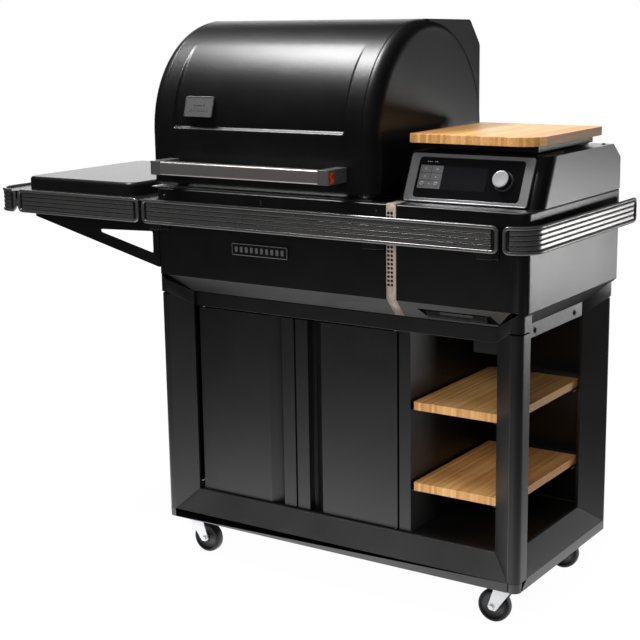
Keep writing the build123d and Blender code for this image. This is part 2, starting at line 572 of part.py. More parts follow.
def scoop(depth):
    """What the recessed panel on the hood's front takes away."""
    tilt = degrees(atan2(SCOOP_DEPTH + depth, HOOD_RADIUS))
    pivot = (0, HOOD_MID - HOOD_RADIUS * sin(radians(35)), HOOD_SPRING + HOOD_RADIUS * cos(radians(35)))
    bar = along_x(arch(HOOD_RADIUS - depth, HOOD_BASE - 40), SCOOP_LEFT - 60, SCOOP_RIGHT + 60)
    turn = Pos(*pivot) * Rot(tilt, 0, 0) * Pos(-pivot[0], -pivot[1], -pivot[2])
    kept = turn * bar
    zone = block(SCOOP_LEFT - depth, SCOOP_RIGHT + depth, HOOD_FRONT - 30, HOOD_MID, SCOOP_BASE - depth * 1.2,
                 pivot[2])
    return zone - kept


def hood():
    outer = hood_solid(0, HOOD_BASE) - scoop(0)
    inner = hood_solid(SHEET, HOOD_BASE - 1) - scoop(SHEET)
    shell = outer - inner
    for x in HOOD_HINGE_X:
        x0, x1 = x - LEAF, x + LEAF
        shell += block(x0, x1, HOOD_BACK, HOOD_BACK + SHEET, HINGE_Z, HINGE_Z + 48)
        shell += block(x0, x1, HOOD_BACK, HINGE_Y, HINGE_Z + 1, HINGE_Z + 5)
        shell += rod_x(HINGE_Y, HINGE_Z, KNUCKLE, x0, x1)
        shell -= rod_x(HINGE_Y, HINGE_Z, HINGE_PIN + SLACK, x0 - 1, x1 + 1)
    node("hood_shell", shell)

    skin = LINER_GAP
    liner = along_x(arch(HOOD_RADIUS - skin, HOOD_BASE + 2), HOOD_LEFT + skin, HOOD_RIGHT - skin)
    liner -= along_x(arch(HOOD_RADIUS - skin - 2, HOOD_BASE + 1), HOOD_LEFT + skin + 2, HOOD_RIGHT - skin - 2)
    plan = outline((HOOD_LEFT + 4, HOOD_FRONT + 4), (HOOD_RIGHT - 4, HOOD_FRONT + 4),
                   (HOOD_RIGHT - 4, HOOD_BACK - 4), (HOOD_LEFT + 4, HOOD_BACK - 4))
    flange = along_z(fillet(plan.vertices(), HOOD_EDGE - 4), HOOD_BASE, HOOD_BASE + 2)
    flange -= block(HOOD_LEFT + skin + 2, HOOD_RIGHT - skin - 2, HOOD_FRONT + skin + 2, HOOD_BACK - skin - 2,
                    HOOD_BASE - 1, HOOD_BASE + 3)
    node("hood_liner", liner + flange)


def hood_hinges():
    """Fixed halves of the hood's hinges: pin, two knuckles and a leaf on the exhaust duct."""
    halves = []
    for x in HOOD_HINGE_X:
        x0, x1 = x - 30, x + 30
        half = rod_x(HINGE_Y, HINGE_Z, HINGE_PIN, x0, x1)
        half += block(x0, x1, HOOD_BACK - 4, HOOD_BACK - 4 + SHEET, HINGE_Z - 50, HINGE_Z - 7)
        for low, high in ((x0, x - LEAF - 0.5), (x + LEAF + 0.5, x1)):
            half += rod_x(HINGE_Y, HINGE_Z, KNUCKLE, low, high)
            half += block(low, high, HOOD_BACK - 4, HINGE_Y, HINGE_Z - 9, HINGE_Z - 5)
        halves.append(half)
    return halves


def handle():
    x0, x1 = HANDLE_X

    def section(inset):
        front, back = HANDLE_FRONT + inset, HANDLE_FRONT + HANDLE_DEEP - inset
        low, high = HANDLE_LOW + inset, HANDLE_HIGH - inset
        return fillet(outline((front, low), (front, high), (back, high), (back, low)).vertices(), 5 - inset)

    bar = along_x(section(0), x0 + HANDLE_END, x1 - HANDLE_END) - along_x(section(2), x0, x1)
    node("handle_bar", bar)
    brackets, inserts = [], []
    for outer, inner, sign in ((x0, x0 + HANDLE_END, 1), (x1, x1 - HANDLE_END, -1)):
        low, high = sorted((outer, inner))
        plan = outline((low, HANDLE_FRONT), (high, HANDLE_FRONT), (high, HOOD_FRONT), (low, HOOD_FRONT))
        plan = rounded(plan, (outer, HANDLE_FRONT, 4))
        arm = along_z(plan, HANDLE_LOW, HANDLE_HIGH + 1)
        arm -= block(low + 5, high - 5, HANDLE_FRONT + HANDLE_DEEP + 2, HOOD_FRONT + 1, HANDLE_LOW - 1,
                     HANDLE_HIGH - 3)
        pocket = (HANDLE_FRONT + 3, HANDLE_FRONT + HANDLE_DEEP - 2, HANDLE_LOW + 3, HANDLE_HIGH - 2)
        arm -= block(*sorted((outer - sign, outer + sign * 3)), *pocket)
        brackets.append(arm)
        inserts.append(block(*sorted((outer + sign * 0.5, outer + sign * 3)), *pocket))
    node("handle_brackets", *brackets)
    node("handle_inserts", *inserts)


def badge():
    """Blank plate on the recessed front of the hood."""
    plate = along_y(RectangleRounded(80, 48, 3), 0, 4)
    plate -= along_y(RectangleRounded(72, 40, 2), -1, 0.8)
    lean = Pos(-127, HOOD_FRONT + 9.2, 1103) * Rot(-16, 0, 0)
    node("badge_plate", lean * Pos(0, -3, 0) * plate)


# ---------------------------------------------------------------- hopper
def hopper_profile(inset):
    foot, head = PANEL_FOOT, PANEL_HEAD
    return outline((foot[0] + inset, CASE_TOP), (head[0] + inset, head[1] - inset),
                   (head[0] + 6 + inset, HOPPER_TOP - inset), (176, HOPPER_TOP - inset),
                   (218 - inset, 984 - inset * 0.4), (CASE_BACK - inset, CASE_TOP))


def hopper():
    outer = along_x(hopper_profile(0), HOPPER_LEFT, CASE_RIGHT)
    corner = [edge for edge in outer.edges().filter_by(GeomType.LINE)
              if abs(edge.center().X - CASE_RIGHT) < 0.1 and edge.length > 80 and edge.center().Y < -150]
    outer = fillet(corner, 26)
    inner = along_x(hopper_profile(SHEET), HOPPER_LEFT + SHEET, CASE_RIGHT - SHEET)
    inner = fillet([edge for edge in inner.edges().filter_by(GeomType.LINE)
                    if abs(edge.center().X - CASE_RIGHT + SHEET) < 0.1 and edge.length > 80
                    and edge.center().Y < -150], 24)
    inner += block(HOPPER_LEFT + SHEET, CASE_RIGHT - SHEET, -170, 190, CASE_TOP - 1, CASE_TOP + 5)
    shell = outer - inner
    shell -= block(BIN[0], BIN[1], BIN[2], BIN[3], 980, HOPPER_TOP + 1)
    window = on_panel((PANEL_LEFT + PANEL_RIGHT) / 2, PANEL_LENGTH / 2)
    shell -= extrude(window * Rectangle(WINDOW_WIDTH, WINDOW_HEIGHT - 2), 12, both=True)
    node("hopper_housing", shell)

    cx, cy = (BIN[0] + BIN[1]) / 2, (BIN[2] + BIN[3]) / 2
    brim = HOPPER_TOP + 0.5

    def funnel(inset, floor, rim):
        width, depth = BIN[1] - BIN[0] - 2 - 2 * inset, BIN[3] - BIN[2] - 2 - 2 * inset
        shoulder = Plane.XY.offset(BIN_SHOULDER) * Pos(cx, cy) * Rectangle(width, depth)
        throat = Plane.XY.offset(floor) * Pos(560, AUGER_Y) * Rectangle(90 - 2 * inset, 50 - 2 * inset)
        return extrude(shoulder, rim - BIN_SHOULDER) + loft([throat, shoulder])

    node("hopper_bin", funnel(0, THROAT_LOW, brim) - funnel(2, THROAT_LOW - 1, brim + 1))

    tube = rod_x(AUGER_Y, AUGER_Z, TUBE_RADIUS, FIRE_X + 62, 640)
    tube -= rod_x(AUGER_Y, AUGER_Z, TUBE_RADIUS - 2, FIRE_X, 636)
    tube -= block(517, 603, AUGER_Y - 23, AUGER_Y + 23, AUGER_Z, THROAT_LOW + 8)
    tube -= rod_x(AUGER_Y, AUGER_Z, 8, 600, 645)
    motor = block(641, 696, AUGER_Y - 35, AUGER_Y + 35, AUGER_Z - 35, AUGER_Z + 35)
    motor -= rod_x(AUGER_Y, AUGER_Z, 7.05, 630, 670)
    node("auger_drive", tube, motor)
    node("auger_screw", auger_screw(FIRE_X + 64, 668))


def auger_screw(x0, x1):
    """Shaft with a helical flight that carries pellets to the fire pot."""
    shaft_radius, turns = 7.0, 11
    shaft = rod_x(AUGER_Y, AUGER_Z, shaft_radius, x0, x1)
    width = SCREW_RADIUS - shaft_radius + 1.5
    middle = SCREW_RADIUS - width / 2
    spiral = Helix(pitch=SCREW_PITCH, height=SCREW_PITCH * turns, radius=middle)
    blade = Plane(origin=(middle, 0, 0), x_dir=(1, 0, 0), z_dir=(0, 1, 0)) * Rectangle(width, 2.5)
    flight = sweep(blade, path=spiral, is_frenet=True)
    place = Pos(x0 + 4, AUGER_Y, AUGER_Z) * Rot(0, 90, 0)
    return shaft + place * flight


def lid_and_board():
    x0, x1, y0, y1 = LID
    lid = block(x0, x1, y0, y1, LID_BOTTOM + 6, LID_TOP)
    lid -= block(x0 + 2, x1 - 2, y0 + 2, y1 - 2, LID_BOTTOM, LID_TOP - 2)
    for x in (x0 + 40, x1 - 70):
        lid += block(x, x + 30, y1 - 2, LID_HINGE[0] - 2, LID_HINGE[1] - 2, LID_HINGE[1] + 6)
        lid += rod_x(*LID_HINGE, KNUCKLE, x, x + 30)
        lid -= rod_x(*LID_HINGE, HINGE_PIN + SLACK, x - 1, x + 31)
    node("hopper_lid", lid)
    pins = []
    for x in (x0 + 40, x1 - 70):
        pins.append(rod_x(*LID_HINGE, HINGE_PIN, x - 12, x + 42))
        for ear in (x - 12, x + 34):
            pins.append(block(ear, ear + 8, LID_HINGE[0] - KNUCKLE, LID_HINGE[0] + KNUCKLE, HOPPER_TOP + 0.1,
                              LID_HINGE[1]))
    bx0, bx1, by0, by1 = BOARD
    plan = outline((bx0, by0), (bx1, by0), (bx1, by1), (bx0, by1))
    plan = rounded(plan, (bx0, by0, 8), (bx1, by0, 52), (bx1, by1, 10), (bx0, by1, 10))
    board = along_z(plan, LID_TOP + GAP, LID_TOP + GAP + BOARD_THICK)
    node("top_board", board)
    return pins


def control_panel():
    face = on_panel((PANEL_LEFT + PANEL_RIGHT) / 2, PANEL_LENGTH / 2)
    frame = extrude(face * (RectangleRounded(PANEL_RIGHT - PANEL_LEFT, PANEL_LENGTH - 2, 6)
                            - RectangleRounded(WINDOW_WIDTH, WINDOW_HEIGHT, 8)), 5)
    node("control_bezel", frame)
    glass_face = 3.0
    glass = extrude(face * RectangleRounded(WINDOW_WIDTH - 0.6, WINDOW_HEIGHT - 0.6, 7.7), glass_face)
    glass -= extrude(on_panel(*KNOB) * Circle(5), 12, both=True)
    sockets = []
    for x in PROBE_X:
        sockets.append(extrude(on_panel(x, PROBE_UP, glass_face) * (Circle(4.6) - Circle(1.6)), 2.2))
    node("control_glass", glass, *sockets)
    spindle = extrude(on_panel(*KNOB, -9) * Circle(4.95), 23.5)
    spindle += extrude(on_panel(*KNOB, glass_face + 0.4) * Circle(KNOB_RADIUS + 2), 3)
    cap_face = on_panel(*KNOB, KNOB_FOOT)
    cap = extrude(cap_face * Circle(KNOB_RADIUS), KNOB_DEEP)
    crown = cap_face.origin + cap_face.z_dir * KNOB_DEEP
    cap = fillet(cap.edges().filter_by(GeomType.CIRCLE).sort_by_distance(crown)[0], 2)
    cap -= extrude(on_panel(*KNOB, KNOB_FOOT - 0.5) * Circle(5.0), 9)
    node("knob_spindle", spindle)
    node("knob_cap", cap)


def cleanout():
    """Slide that lets leftover pellets out, with its pull bar in the recess."""
    bar = block(CLEANOUT[0] + 22, CLEANOUT[1] - 8, -246, -240, 676, 689)
    plate = block(500, 590, -240, -60, 684, 687)
    node("cleanout_slide", bar + plate)
    guides = []
    for wall, side, ledge in ((490, 499.5, 506), (600, 590.5, 584)):
        low_x, high_x = sorted((wall, side))
        guide = block(low_x, high_x, -215, -60, CASE_BAND + SHEET, 690)
        low_x, high_x = sorted((wall, ledge))
        guides.append(guide + block(low_x, high_x, -215, -60, CASE_BAND + SHEET, 683.7))
    return guides


# ---------------------------------------------------------------- rails
def ring_outline(width, height):
    inner = RectangleRounded(width - 2 * ROD, height - 2 * ROD, RAIL_ROUND - ROD)
    return RectangleRounded(width, height, RAIL_ROUND) - inner


def straight_rail(x0, x1):
    """Rounded bar loop round a ribbed plate."""
    middle, width = (x0 + x1) / 2, x1 - x0
    low, high = RAIL_LOW, RAIL_HIGH
    loop = along_y(Pos(middle, (low + high) / 2) * ring_outline(width, high - low),
                   RAIL_PLANE - ROD / 2, RAIL_PLANE + ROD / 2)
    fronts = [edge for edge in loop.edges() if abs(edge.center().Y - (RAIL_PLANE - ROD / 2)) < 0.01]
    loop = fillet(fronts, 3)
    plate = block(x0 + ROD - 1, x1 - ROD + 1, RAIL_PLANE + 1, RAIL_PLANE + 3, low + ROD - 1, high - ROD + 1)
    pitch = (high - low - 2 * ROD) / (RIDGES + 1)
    for index in range(RIDGES):
        z = low + ROD + pitch * (index + 1)
        plate += block(x0 + ROD + 8, x1 - ROD - 8, RAIL_PLANE - 2, RAIL_PLANE + 1, z - 1.5, z + 1.5)
    return loop + plate


def bent_rail(sign, outer_x, inner_x, back_y):
    """Rail that runs round a front corner and back along the side."""
    low, high = RAIL_LOW, RAIL_HIGH
    front_y = RAIL_PLANE

    def band(near, far, z0, z1, start, end):
        """Material between two offsets inward from the rail's outer face."""
        def edge_line(inward):
            radius = RAIL_BEND - inward
            cx, cy = outer_x - sign * RAIL_BEND, front_y - ROD / 2 + RAIL_BEND
            turn = sin(radians(45))
            return [(start, cy - radius), (cx, cy - radius), (cx + sign * radius * turn, cy - radius * turn),
                    (cx + sign * radius, cy), (cx + sign * radius, end)]
        a, b = edge_line(near), edge_line(far)
        path = [Line(a[0], a[1]), ThreePointArc(a[1], a[2], a[3]), Line(a[3], a[4]), Line(a[4], b[4]),
                Line(b[4], b[3]), ThreePointArc(b[3], b[2], b[1]), Line(b[1], b[0]), Line(b[0], a[0])]
        return along_z(make_face([edge for piece in path for edge in piece.edges()]), z0, z1)

    full = band(0, ROD, low, high, inner_x, back_y)
    hole = band(-1, ROD + 1, low + ROD, high - ROD, inner_x + sign * ROD, back_y - ROD)
    loop = full - hole
    plate = band(5, 7, low + ROD - 1, high - ROD + 1, inner_x + sign * (ROD - 1), back_y - ROD + 1)
    pitch = (high - low - 2 * ROD) / (RIDGES + 1)
    for index in range(RIDGES):
        z = low + ROD + pitch * (index + 1)
        plate += band(2, 5, z - 1.5, z + 1.5, inner_x + sign * ROD, back_y - ROD - 6)
    return loop + plate


def rails():
    node("front_rails", straight_rail(-260.0, 673.0), straight_rail(-667.5, -270.0))
    right = bent_rail(1, RIGHT_OUTER, 682.5, RAIL_BACK)
    left = bent_rail(-1, LEFT_OUTER, -675.0, RAIL_BACK)
    node("corner_rails", right, left)
    brackets = []
    low = RAIL_LOW
    for x in (-225.0, 368.0, 640.0):
        brackets.append(block(x - 18, x + 18, RAIL_PLANE + 4.2, CASE_FRONT - 0.2, low + 4, low + 10)
                        + block(x - 18, x + 18, RAIL_PLANE + 4.2, RAIL_PLANE + 7, low - 14, low + 44)
                        + block(x - 18, x + 18, CASE_FRONT - 3, CASE_FRONT - 0.2, low - 18, low + 44))
    for y in (-120.0, 150.0):
        x = CASE_RIGHT
        end = RIGHT_OUTER - ROD - 0.2
        brackets.append(block(x + 0.2, end, y - 18, y + 18, low + 4, low + 10)
                        + block(x + 0.2, x + 3, y - 18, y + 18, low + 4, low + 44)
                        + block(end - 2.8, end, y - 18, y + 18, low, low + 44))
    for x in (-600.0, -330.0):
        brackets.append(block(x - 15, x + 15, RAIL_PLANE + 3.2, SHELF_FRONT - 0.2, 866, 880))
    for y in (-100.0, 120.0):
        brackets.append(block(LEFT_OUTER + 7.2, SHELF_LEFT - 0.2, y - 15, y + 15, 866, 880))
    node("rail_brackets", *brackets)


# ---------------------------------------------------------------- side shelf
def side_shelf():
    x0, x1, y0, y1 = SHELF_LEFT, SHELF_RIGHT, SHELF_FRONT, SHELF_BACK
    plan = outline((x0, y0), (x1, y0), (x1, y1), (x0, y1))
    plan = rounded(plan, (x0, y0, 50))
    tray = along_z(plan, SHELF_TOP - SHELF_DEEP, SHELF_TOP)
    tray -= along_z(offset(plan, -SHEET), SHELF_TOP - SHELF_DEEP - 1, SHELF_TOP - SHEET)
    tray -= block(COVER[0] + 22, COVER[1] - 22, COVER[2] + 22, COVER[3] - 22, SHELF_TOP - 10, SHELF_TOP + 1)
    node("side_shelf", tray)

    brackets = []
    for y in (-250.0, 180.0):
        top, low = SHELF_TOP - SHELF_DEEP - 0.2, 720.0
        web = outline((-655, top), (-655, 817), (x1 - 6, low), (x1 - 0.5, low), (x1 - 0.5, top))
        window = outline((-462, 798), (-270, 805), (-270, 752))
        window = fillet(window.vertices(), 4)
        web_solid = along_y(web - window, y, y + 3)
        web_solid += block(-655, x1 - 0.5, y, y + 24, top - 3, top)
        web_solid += block(x1 - 3.5, x1 - 0.5, y, y + 24, low, top)
        brackets.append(web_solid)
    node("shelf_brackets", *brackets)

    cx0, cx1, cy0, cy1 = COVER

    def within(inset, low, high):
        return block(cx0 + inset, cx1 - inset, cy0 + inset, cy1 - inset, SHELF_TOP + low, SHELF_TOP + high)

    node("induction_hob", within(24, -30, 4) - within(27, -27, 1) + within(14, 0.2, 5))

    plan = outline((cx0, cy0), (cx1, cy0), (cx1, cy1), (cx0, cy1))
    plan = fillet(plan.vertices(), 28)
    cover = along_z(plan, SHELF_TOP + GAP, COVER_TOP)
    rim = [edge for edge in cover.edges() if abs(edge.center().Z - COVER_TOP) < 0.01]
    cover = fillet(rim, COVER_EDGE)
    hollow = along_z(offset(plan, -3), SHELF_TOP - 1, COVER_TOP - COVER_EDGE)
    hollow += along_z(offset(plan, -12), SHELF_TOP - 1, COVER_TOP - 3)
    node("hob_cover", cover - hollow)


# ---------------------------------------------------------------- rear and under parts
def rear_parts():
    y0, y1, outer = CASE_BACK + GAP, HOOD_BACK - 4, DEPTH / 2
    x0, x1, low, top = DUCT_LEFT, DUCT_RIGHT, DUCT_LOW, CASE_TOP - 4
    duct = block(x0, x1, y0, y1, low, top) - block(x0 + 3, x1 - 3, y0 - 1.3, y1 - 3, low + 3, top - 3)
    duct -= block(-55, 135, y1 - 4, y1 + 4, low + 25, low + 80)
    outlet = block(-60, 140, y1, outer, low + 12, low + 92)
    outlet -= block(-57, 137, y1 - 1, outer - 3, low + 11, low + 89)
    node("exhaust_duct", duct + outlet)
    inlet = block(600, 650, CASE_BACK + 0.2, CASE_BACK + 6, 740, 775)
    inlet -= block(610, 640, CASE_BACK + 2, CASE_BACK + 7, 747, 768)
    node("power_inlet", inlet)
    wall, rim, low, top = 2, 4, KEG_LOW, KEG_TOP
    keg = rod_z(FIRE_X, KEG_Y, KEG_RADIUS, low, top) + rod_z(FIRE_X, KEG_Y, KEG_RADIUS + rim, top - rim, top)
    node("grease_keg", keg - rod_z(FIRE_X, KEG_Y, KEG_RADIUS - wall, low + wall, top + 4))


def keg_hanger():
    """Two ledges that the keg's rim rests on, bent down from the casing floor."""
    arms = []
    low = KEG_TOP - 8
    y0, y1 = KEG_Y - 50, KEG_Y + 50
    for sign in (-1, 1):
        x_in, x_out = FIRE_X + sign * (KEG_RADIUS + 1), FIRE_X + sign * (KEG_RADIUS + 28)
        arm = block(*sorted((x_in, x_out)), y0, y1, low, KEG_TOP - 4.3)
        arm += block(*sorted((x_out - sign * 3, x_out)), y0, y1, low, CASE_BAND)
        arms.append(arm)
    return arms


def bolts():
    """Bolt heads, all alike, that hold the casing, the header bars and the hopper."""
    heads = []
    for x in (-219.5, 61.5, 365.5):
        heads.append(rod_y(x, 895, 4, CASE_FRONT - 3, CASE_FRONT))
    for y in (-118.0, 88.0):
        heads.append(rod_x(y, 643, 5, CART_RIGHT - BEVEL_DEPTH, CART_RIGHT - BEVEL_DEPTH + 4))
    for y in (-49.0, 156.0):
        heads.append(rod_z(704, y, 3.5, HOPPER_TOP, HOPPER_TOP + 2.5))
    return heads


# ---------------------------------------------------------------- casters
def casters():
    """Swivel casters; the left pair stands trailing to the right and the right pair to the left."""
    plates = []
    top = CART_BOTTOM
    half = WHEEL_WIDTH / 2 + 2
    for front, y in zip(("front", "rear"), CASTER_Y):
        for side, x, sign in (("left", CASTER_X[0], 1), ("right", CASTER_X[1], -1)):
            name = front + "_" + side
            wheel_x = x + sign * CASTER_TRAIL
            plates.append(block(x - 34, x + 34, y - 30, y + 30, top - 3, top)
                          + rod_z(x, y, SWIVEL_PIN, top - 12, top - 3))

            fork = rod_z(x, y, 22, CROWN_LOW, top - 4)
            fork -= rod_z(x, y, SWIVEL_PIN + SLACK, CROWN_LOW - 4, top - 1)
            toe, heel = (wheel_x + sign * 11, WHEEL_RADIUS - 4), (wheel_x - sign * 9, WHEEL_RADIUS - 9)
            cheek = outline((x - sign * 20, CROWN_LOW), (x + sign * 22, CROWN_LOW), toe, heel)
            cheek = rounded(cheek, (*toe, 6), (*heel, 6))
            for y0 in (y - half - SHEET, y + half):
                fork += along_y(cheek, y0, y0 + SHEET)
            fork += block(*sorted((x - sign * 20, x + sign * 22)), y - half - SHEET, y + half + SHEET,
                          CROWN_LOW - 2, CROWN_LOW)
            fork += rod_y(wheel_x, WHEEL_RADIUS, AXLE, y - half - 5, y + half + 5)
            pin_x, pin_z = x + sign * 18, BRAKE_Z
            if front == "front":
                fork += rod_y(pin_x, pin_z, 2, y - half - 4, y + half + 4)
            node("caster_fork_" + name, fork)

            wheel = rod_y(wheel_x, WHEEL_RADIUS, WHEEL_RADIUS, y - WHEEL_WIDTH / 2, y + WHEEL_WIDTH / 2)
            wheel = fillet(wheel.edges().filter_by(GeomType.CIRCLE), 5)
            wheel -= rod_y(wheel_x, WHEEL_RADIUS, AXLE + SLACK, y - 40, y + 40)
            for y0 in (y - WHEEL_WIDTH / 2 - 1, y + WHEEL_WIDTH / 2 - 3):
                wheel -= (rod_y(wheel_x, WHEEL_RADIUS, 27, y0, y0 + 4)
                          - rod_y(wheel_x, WHEEL_RADIUS, 10, y0, y0 + 4))
            node("caster_wheel_" + name, wheel)
            if front == "front":
                pedal = ((-4, 2), (36, 2), (44, -2), (41, -5), (34, -3), (-4, -3))
                pedal = outline(*[(pin_x + sign * across, pin_z + up) for across, up in pedal])
                brake = along_y(pedal, y - 12, y + 12) - rod_y(pin_x, pin_z, 2 + SLACK, y - 40, y + 40)
                node("caster_brake_" + name, brake)
    node("caster_plates", *plates)


# ---------------------------------------------------------------- build
def build():
    cart_frame()
    headers()
    cabinet_panels()
    brackets = shelves()
    pins = doors()
    casing()
    cooking_chamber()
    burner()
    hood()
    handle()
    badge()
    hopper()
    pins += lid_and_board()
    control_panel()
    brackets += cleanout()
    rails()
    side_shelf()
    rear_parts()
    node("inner_brackets", *brackets, *keg_hanger())
    pins += hood_hinges()
    node("hinges", *pins)
    node("bolts", *bolts())
    casters()


build()
os.makedirs("parts", exist_ok=True)
for name, shape in NODES.items():
    export_step(shape, f"parts/{name}.step")
print(len(NODES), "nodes")
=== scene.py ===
import json
import math

import bmesh
import bpy
from mathutils import Matrix, Vector

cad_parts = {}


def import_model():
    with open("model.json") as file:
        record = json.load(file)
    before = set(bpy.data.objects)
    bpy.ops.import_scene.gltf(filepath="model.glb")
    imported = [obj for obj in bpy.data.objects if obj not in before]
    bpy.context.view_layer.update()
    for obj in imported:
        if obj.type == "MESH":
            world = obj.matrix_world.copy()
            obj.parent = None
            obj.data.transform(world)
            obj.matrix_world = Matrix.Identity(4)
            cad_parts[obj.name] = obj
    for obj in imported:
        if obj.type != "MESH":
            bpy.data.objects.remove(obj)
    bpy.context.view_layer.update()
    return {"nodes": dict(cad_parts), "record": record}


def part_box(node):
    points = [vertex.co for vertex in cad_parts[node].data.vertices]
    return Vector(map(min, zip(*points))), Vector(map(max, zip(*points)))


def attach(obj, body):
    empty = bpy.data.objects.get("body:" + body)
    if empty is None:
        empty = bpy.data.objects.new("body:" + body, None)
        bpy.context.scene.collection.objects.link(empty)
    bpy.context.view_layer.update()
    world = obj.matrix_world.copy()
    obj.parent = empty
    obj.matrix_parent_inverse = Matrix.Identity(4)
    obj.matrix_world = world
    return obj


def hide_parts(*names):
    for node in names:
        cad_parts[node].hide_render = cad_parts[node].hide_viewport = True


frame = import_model()
nodes = frame["nodes"]
body_of_node = {n: b for b, names in frame["record"]["behaviour"]["bodies"].items() for n in names}
slot_of_node = {row["node"]: row["material_slot"] for row in frame["record"]["subparts"]}

MM = 0.001


# ---------------------------------------------------------------- shader helpers
class Shader:
    """One procedural material: a Principled shader and the nodes that feed it."""

    def __init__(self, name, colour, roughness, metallic=0.0, specular=0.5, coat=0.0, coat_roughness=0.1):
        self.material = bpy.data.materials.new(name)
        self.material.use_nodes = True
        self.tree = self.material.node_tree
        self.shader = self.tree.nodes["Principled BSDF"]
        self.place = self.add("ShaderNodeTexCoord").outputs["Object"]
        values = {
            "Base Color": (*colour, 1.0), "Roughness": roughness, "Metallic": metallic,
            "Specular IOR Level": specular, "Coat Weight": coat, "Coat Roughness": coat_roughness,
        }
        for socket, value in values.items():
            self.shader.inputs[socket].default_value = value
        self.height = None

    def add(self, kind, **settings):
        node = self.tree.nodes.new(kind)
        for key, value in settings.items():
            setattr(node, key, value)
        return node

    def link(self, source, target):
        self.tree.links.new(source, target)

    def stretched(self, scale):
        """Object coordinates scaled unevenly, for grain and brushing."""
        mapping = self.add("ShaderNodeMapping")
        mapping.inputs["Scale"].default_value = scale
        self.link(self.place, mapping.inputs["Vector"])
        return mapping.outputs["Vector"]

    def noise(self, scale, detail=3.0, rough=0.55, vector=None, distortion=0.0):
        node = self.add("ShaderNodeTexNoise")
        node.inputs["Scale"].default_value = scale
        node.inputs["Detail"].default_value = detail
        node.inputs["Roughness"].default_value = rough
        node.inputs["Distortion"].default_value = distortion
        self.link(vector or self.place, node.inputs["Vector"])
        return node.outputs["Fac"]

    def ramp(self, factor, *stops):
        node = self.add("ShaderNodeValToRGB")
        while len(node.color_ramp.elements) < len(stops):
            node.color_ramp.elements.new(0.5)
        for element, (position, colour) in zip(node.color_ramp.elements, stops):
            element.position = position
            element.color = (*colour, 1.0) if len(colour) == 3 else colour
        self.link(factor, node.inputs["Fac"])
        return node.outputs["Color"]

    def between(self, factor, low, high):
        node = self.add("ShaderNodeMapRange")
        node.inputs["To Min"].default_value = low
        node.inputs["To Max"].default_value = high
        self.link(factor, node.inputs["Value"])
        return node.outputs["Result"]

    def math(self, operation, first, second=None):
        node = self.add("ShaderNodeMath", operation=operation)
        for socket, value in zip(node.inputs, (first, second)):
            if value is None:
                continue
            if isinstance(value, (int, float)):
                socket.default_value = value
            else:
                self.link(value, socket)
        return node.outputs["Value"]

    def mix(self, factor, first, second, blend="MIX"):
        node = self.add("ShaderNodeMix", data_type="RGBA", blend_type=blend)
        for socket, value in ((node.inputs["Factor"], factor), (node.inputs[6], first),
                              (node.inputs[7], second)):
            if isinstance(value, (int, float)):
                socket.default_value = value
            elif isinstance(value, tuple):
                socket.default_value = (*value, 1.0)
            else:
                self.link(value, socket)
        return node.outputs[2]

    def bump(self, height, distance, strength=1.0):
        node = self.add("ShaderNodeBump")
        node.inputs["Distance"].default_value = distance
        node.inputs["Strength"].default_value = strength
        self.link(height, node.inputs["Height"])
        if self.height is not None:
            self.link(self.height, node.inputs["Normal"])
        self.height = node.outputs["Normal"]
        self.link(self.height, self.shader.inputs["Normal"])

    def colour(self, source):
        self.link(source, self.shader.inputs["Base Color"])

    def roughness(self, source):
        self.link(source, self.shader.inputs["Roughness"])


# ---------------------------------------------------------------- materials
def powder_coat(name, colour, roughness, grain, depth):
    """Baked powder paint: orange-peel grain, finer sparkle and a little dust."""
    m = Shader(name, colour, roughness, specular=0.5)
    peel = m.noise(grain, 2.0, 0.5)
    fine = m.noise(grain * 3.1, 2.0, 0.6)
    dust = m.noise(7.0, 4.0, 0.6)
    lighter = tuple(c * 1.6 + 0.0006 for c in colour)
    m.colour(m.mix(m.ramp(dust, (0.35, (0, 0, 0)), (0.75, (1, 1, 1))), colour, lighter))
    spread = m.math("ADD", m.between(fine, -0.07, 0.07), m.between(dust, roughness - 0.03, roughness + 0.04))
    m.roughness(spread)
    m.bump(peel, depth)
    m.bump(fine, depth * 0.4)
    return m.material


def brushed_metal(name, colour, roughness, along, metallic=1.0):
    """Metal brushed along one axis of the object."""
    m = Shader(name, colour, roughness, metallic=metallic)
    scale = [1600.0, 1600.0, 1600.0]
    scale["xyz".index(along)] = 9.0
    lines = m.noise(1.0, 4.0, 0.7, m.stretched(scale))
    cloud = m.noise(14.0, 3.0)
    darker = tuple(c * 0.82 for c in colour)
    m.colour(m.mix(lines, darker, tuple(min(1.0, c * 1.12) for c in colour)))
    spread = m.between(lines, -0.07, 0.09)
    m.roughness(m.math("ADD", spread, m.between(cloud, roughness - 0.03, roughness + 0.05)))
    m.bump(lines, 0.00003)
    return m.material


def cast_metal(name, colour, roughness, grain=700.0, depth=0.00006, metallic=1.0):
    """Bead-blasted or cast metal with an even fine grain."""
    m = Shader(name, colour, roughness, metallic=metallic)
    grit = m.noise(grain, 3.0, 0.6)
    cloud = m.noise(20.0, 3.0)
    m.colour(m.mix(cloud, tuple(c * 0.88 for c in colour), tuple(min(1, c * 1.1) for c in colour)))
    m.roughness(m.between(grit, roughness - 0.06, roughness + 0.08))
    m.bump(grit, depth)
    return m.material


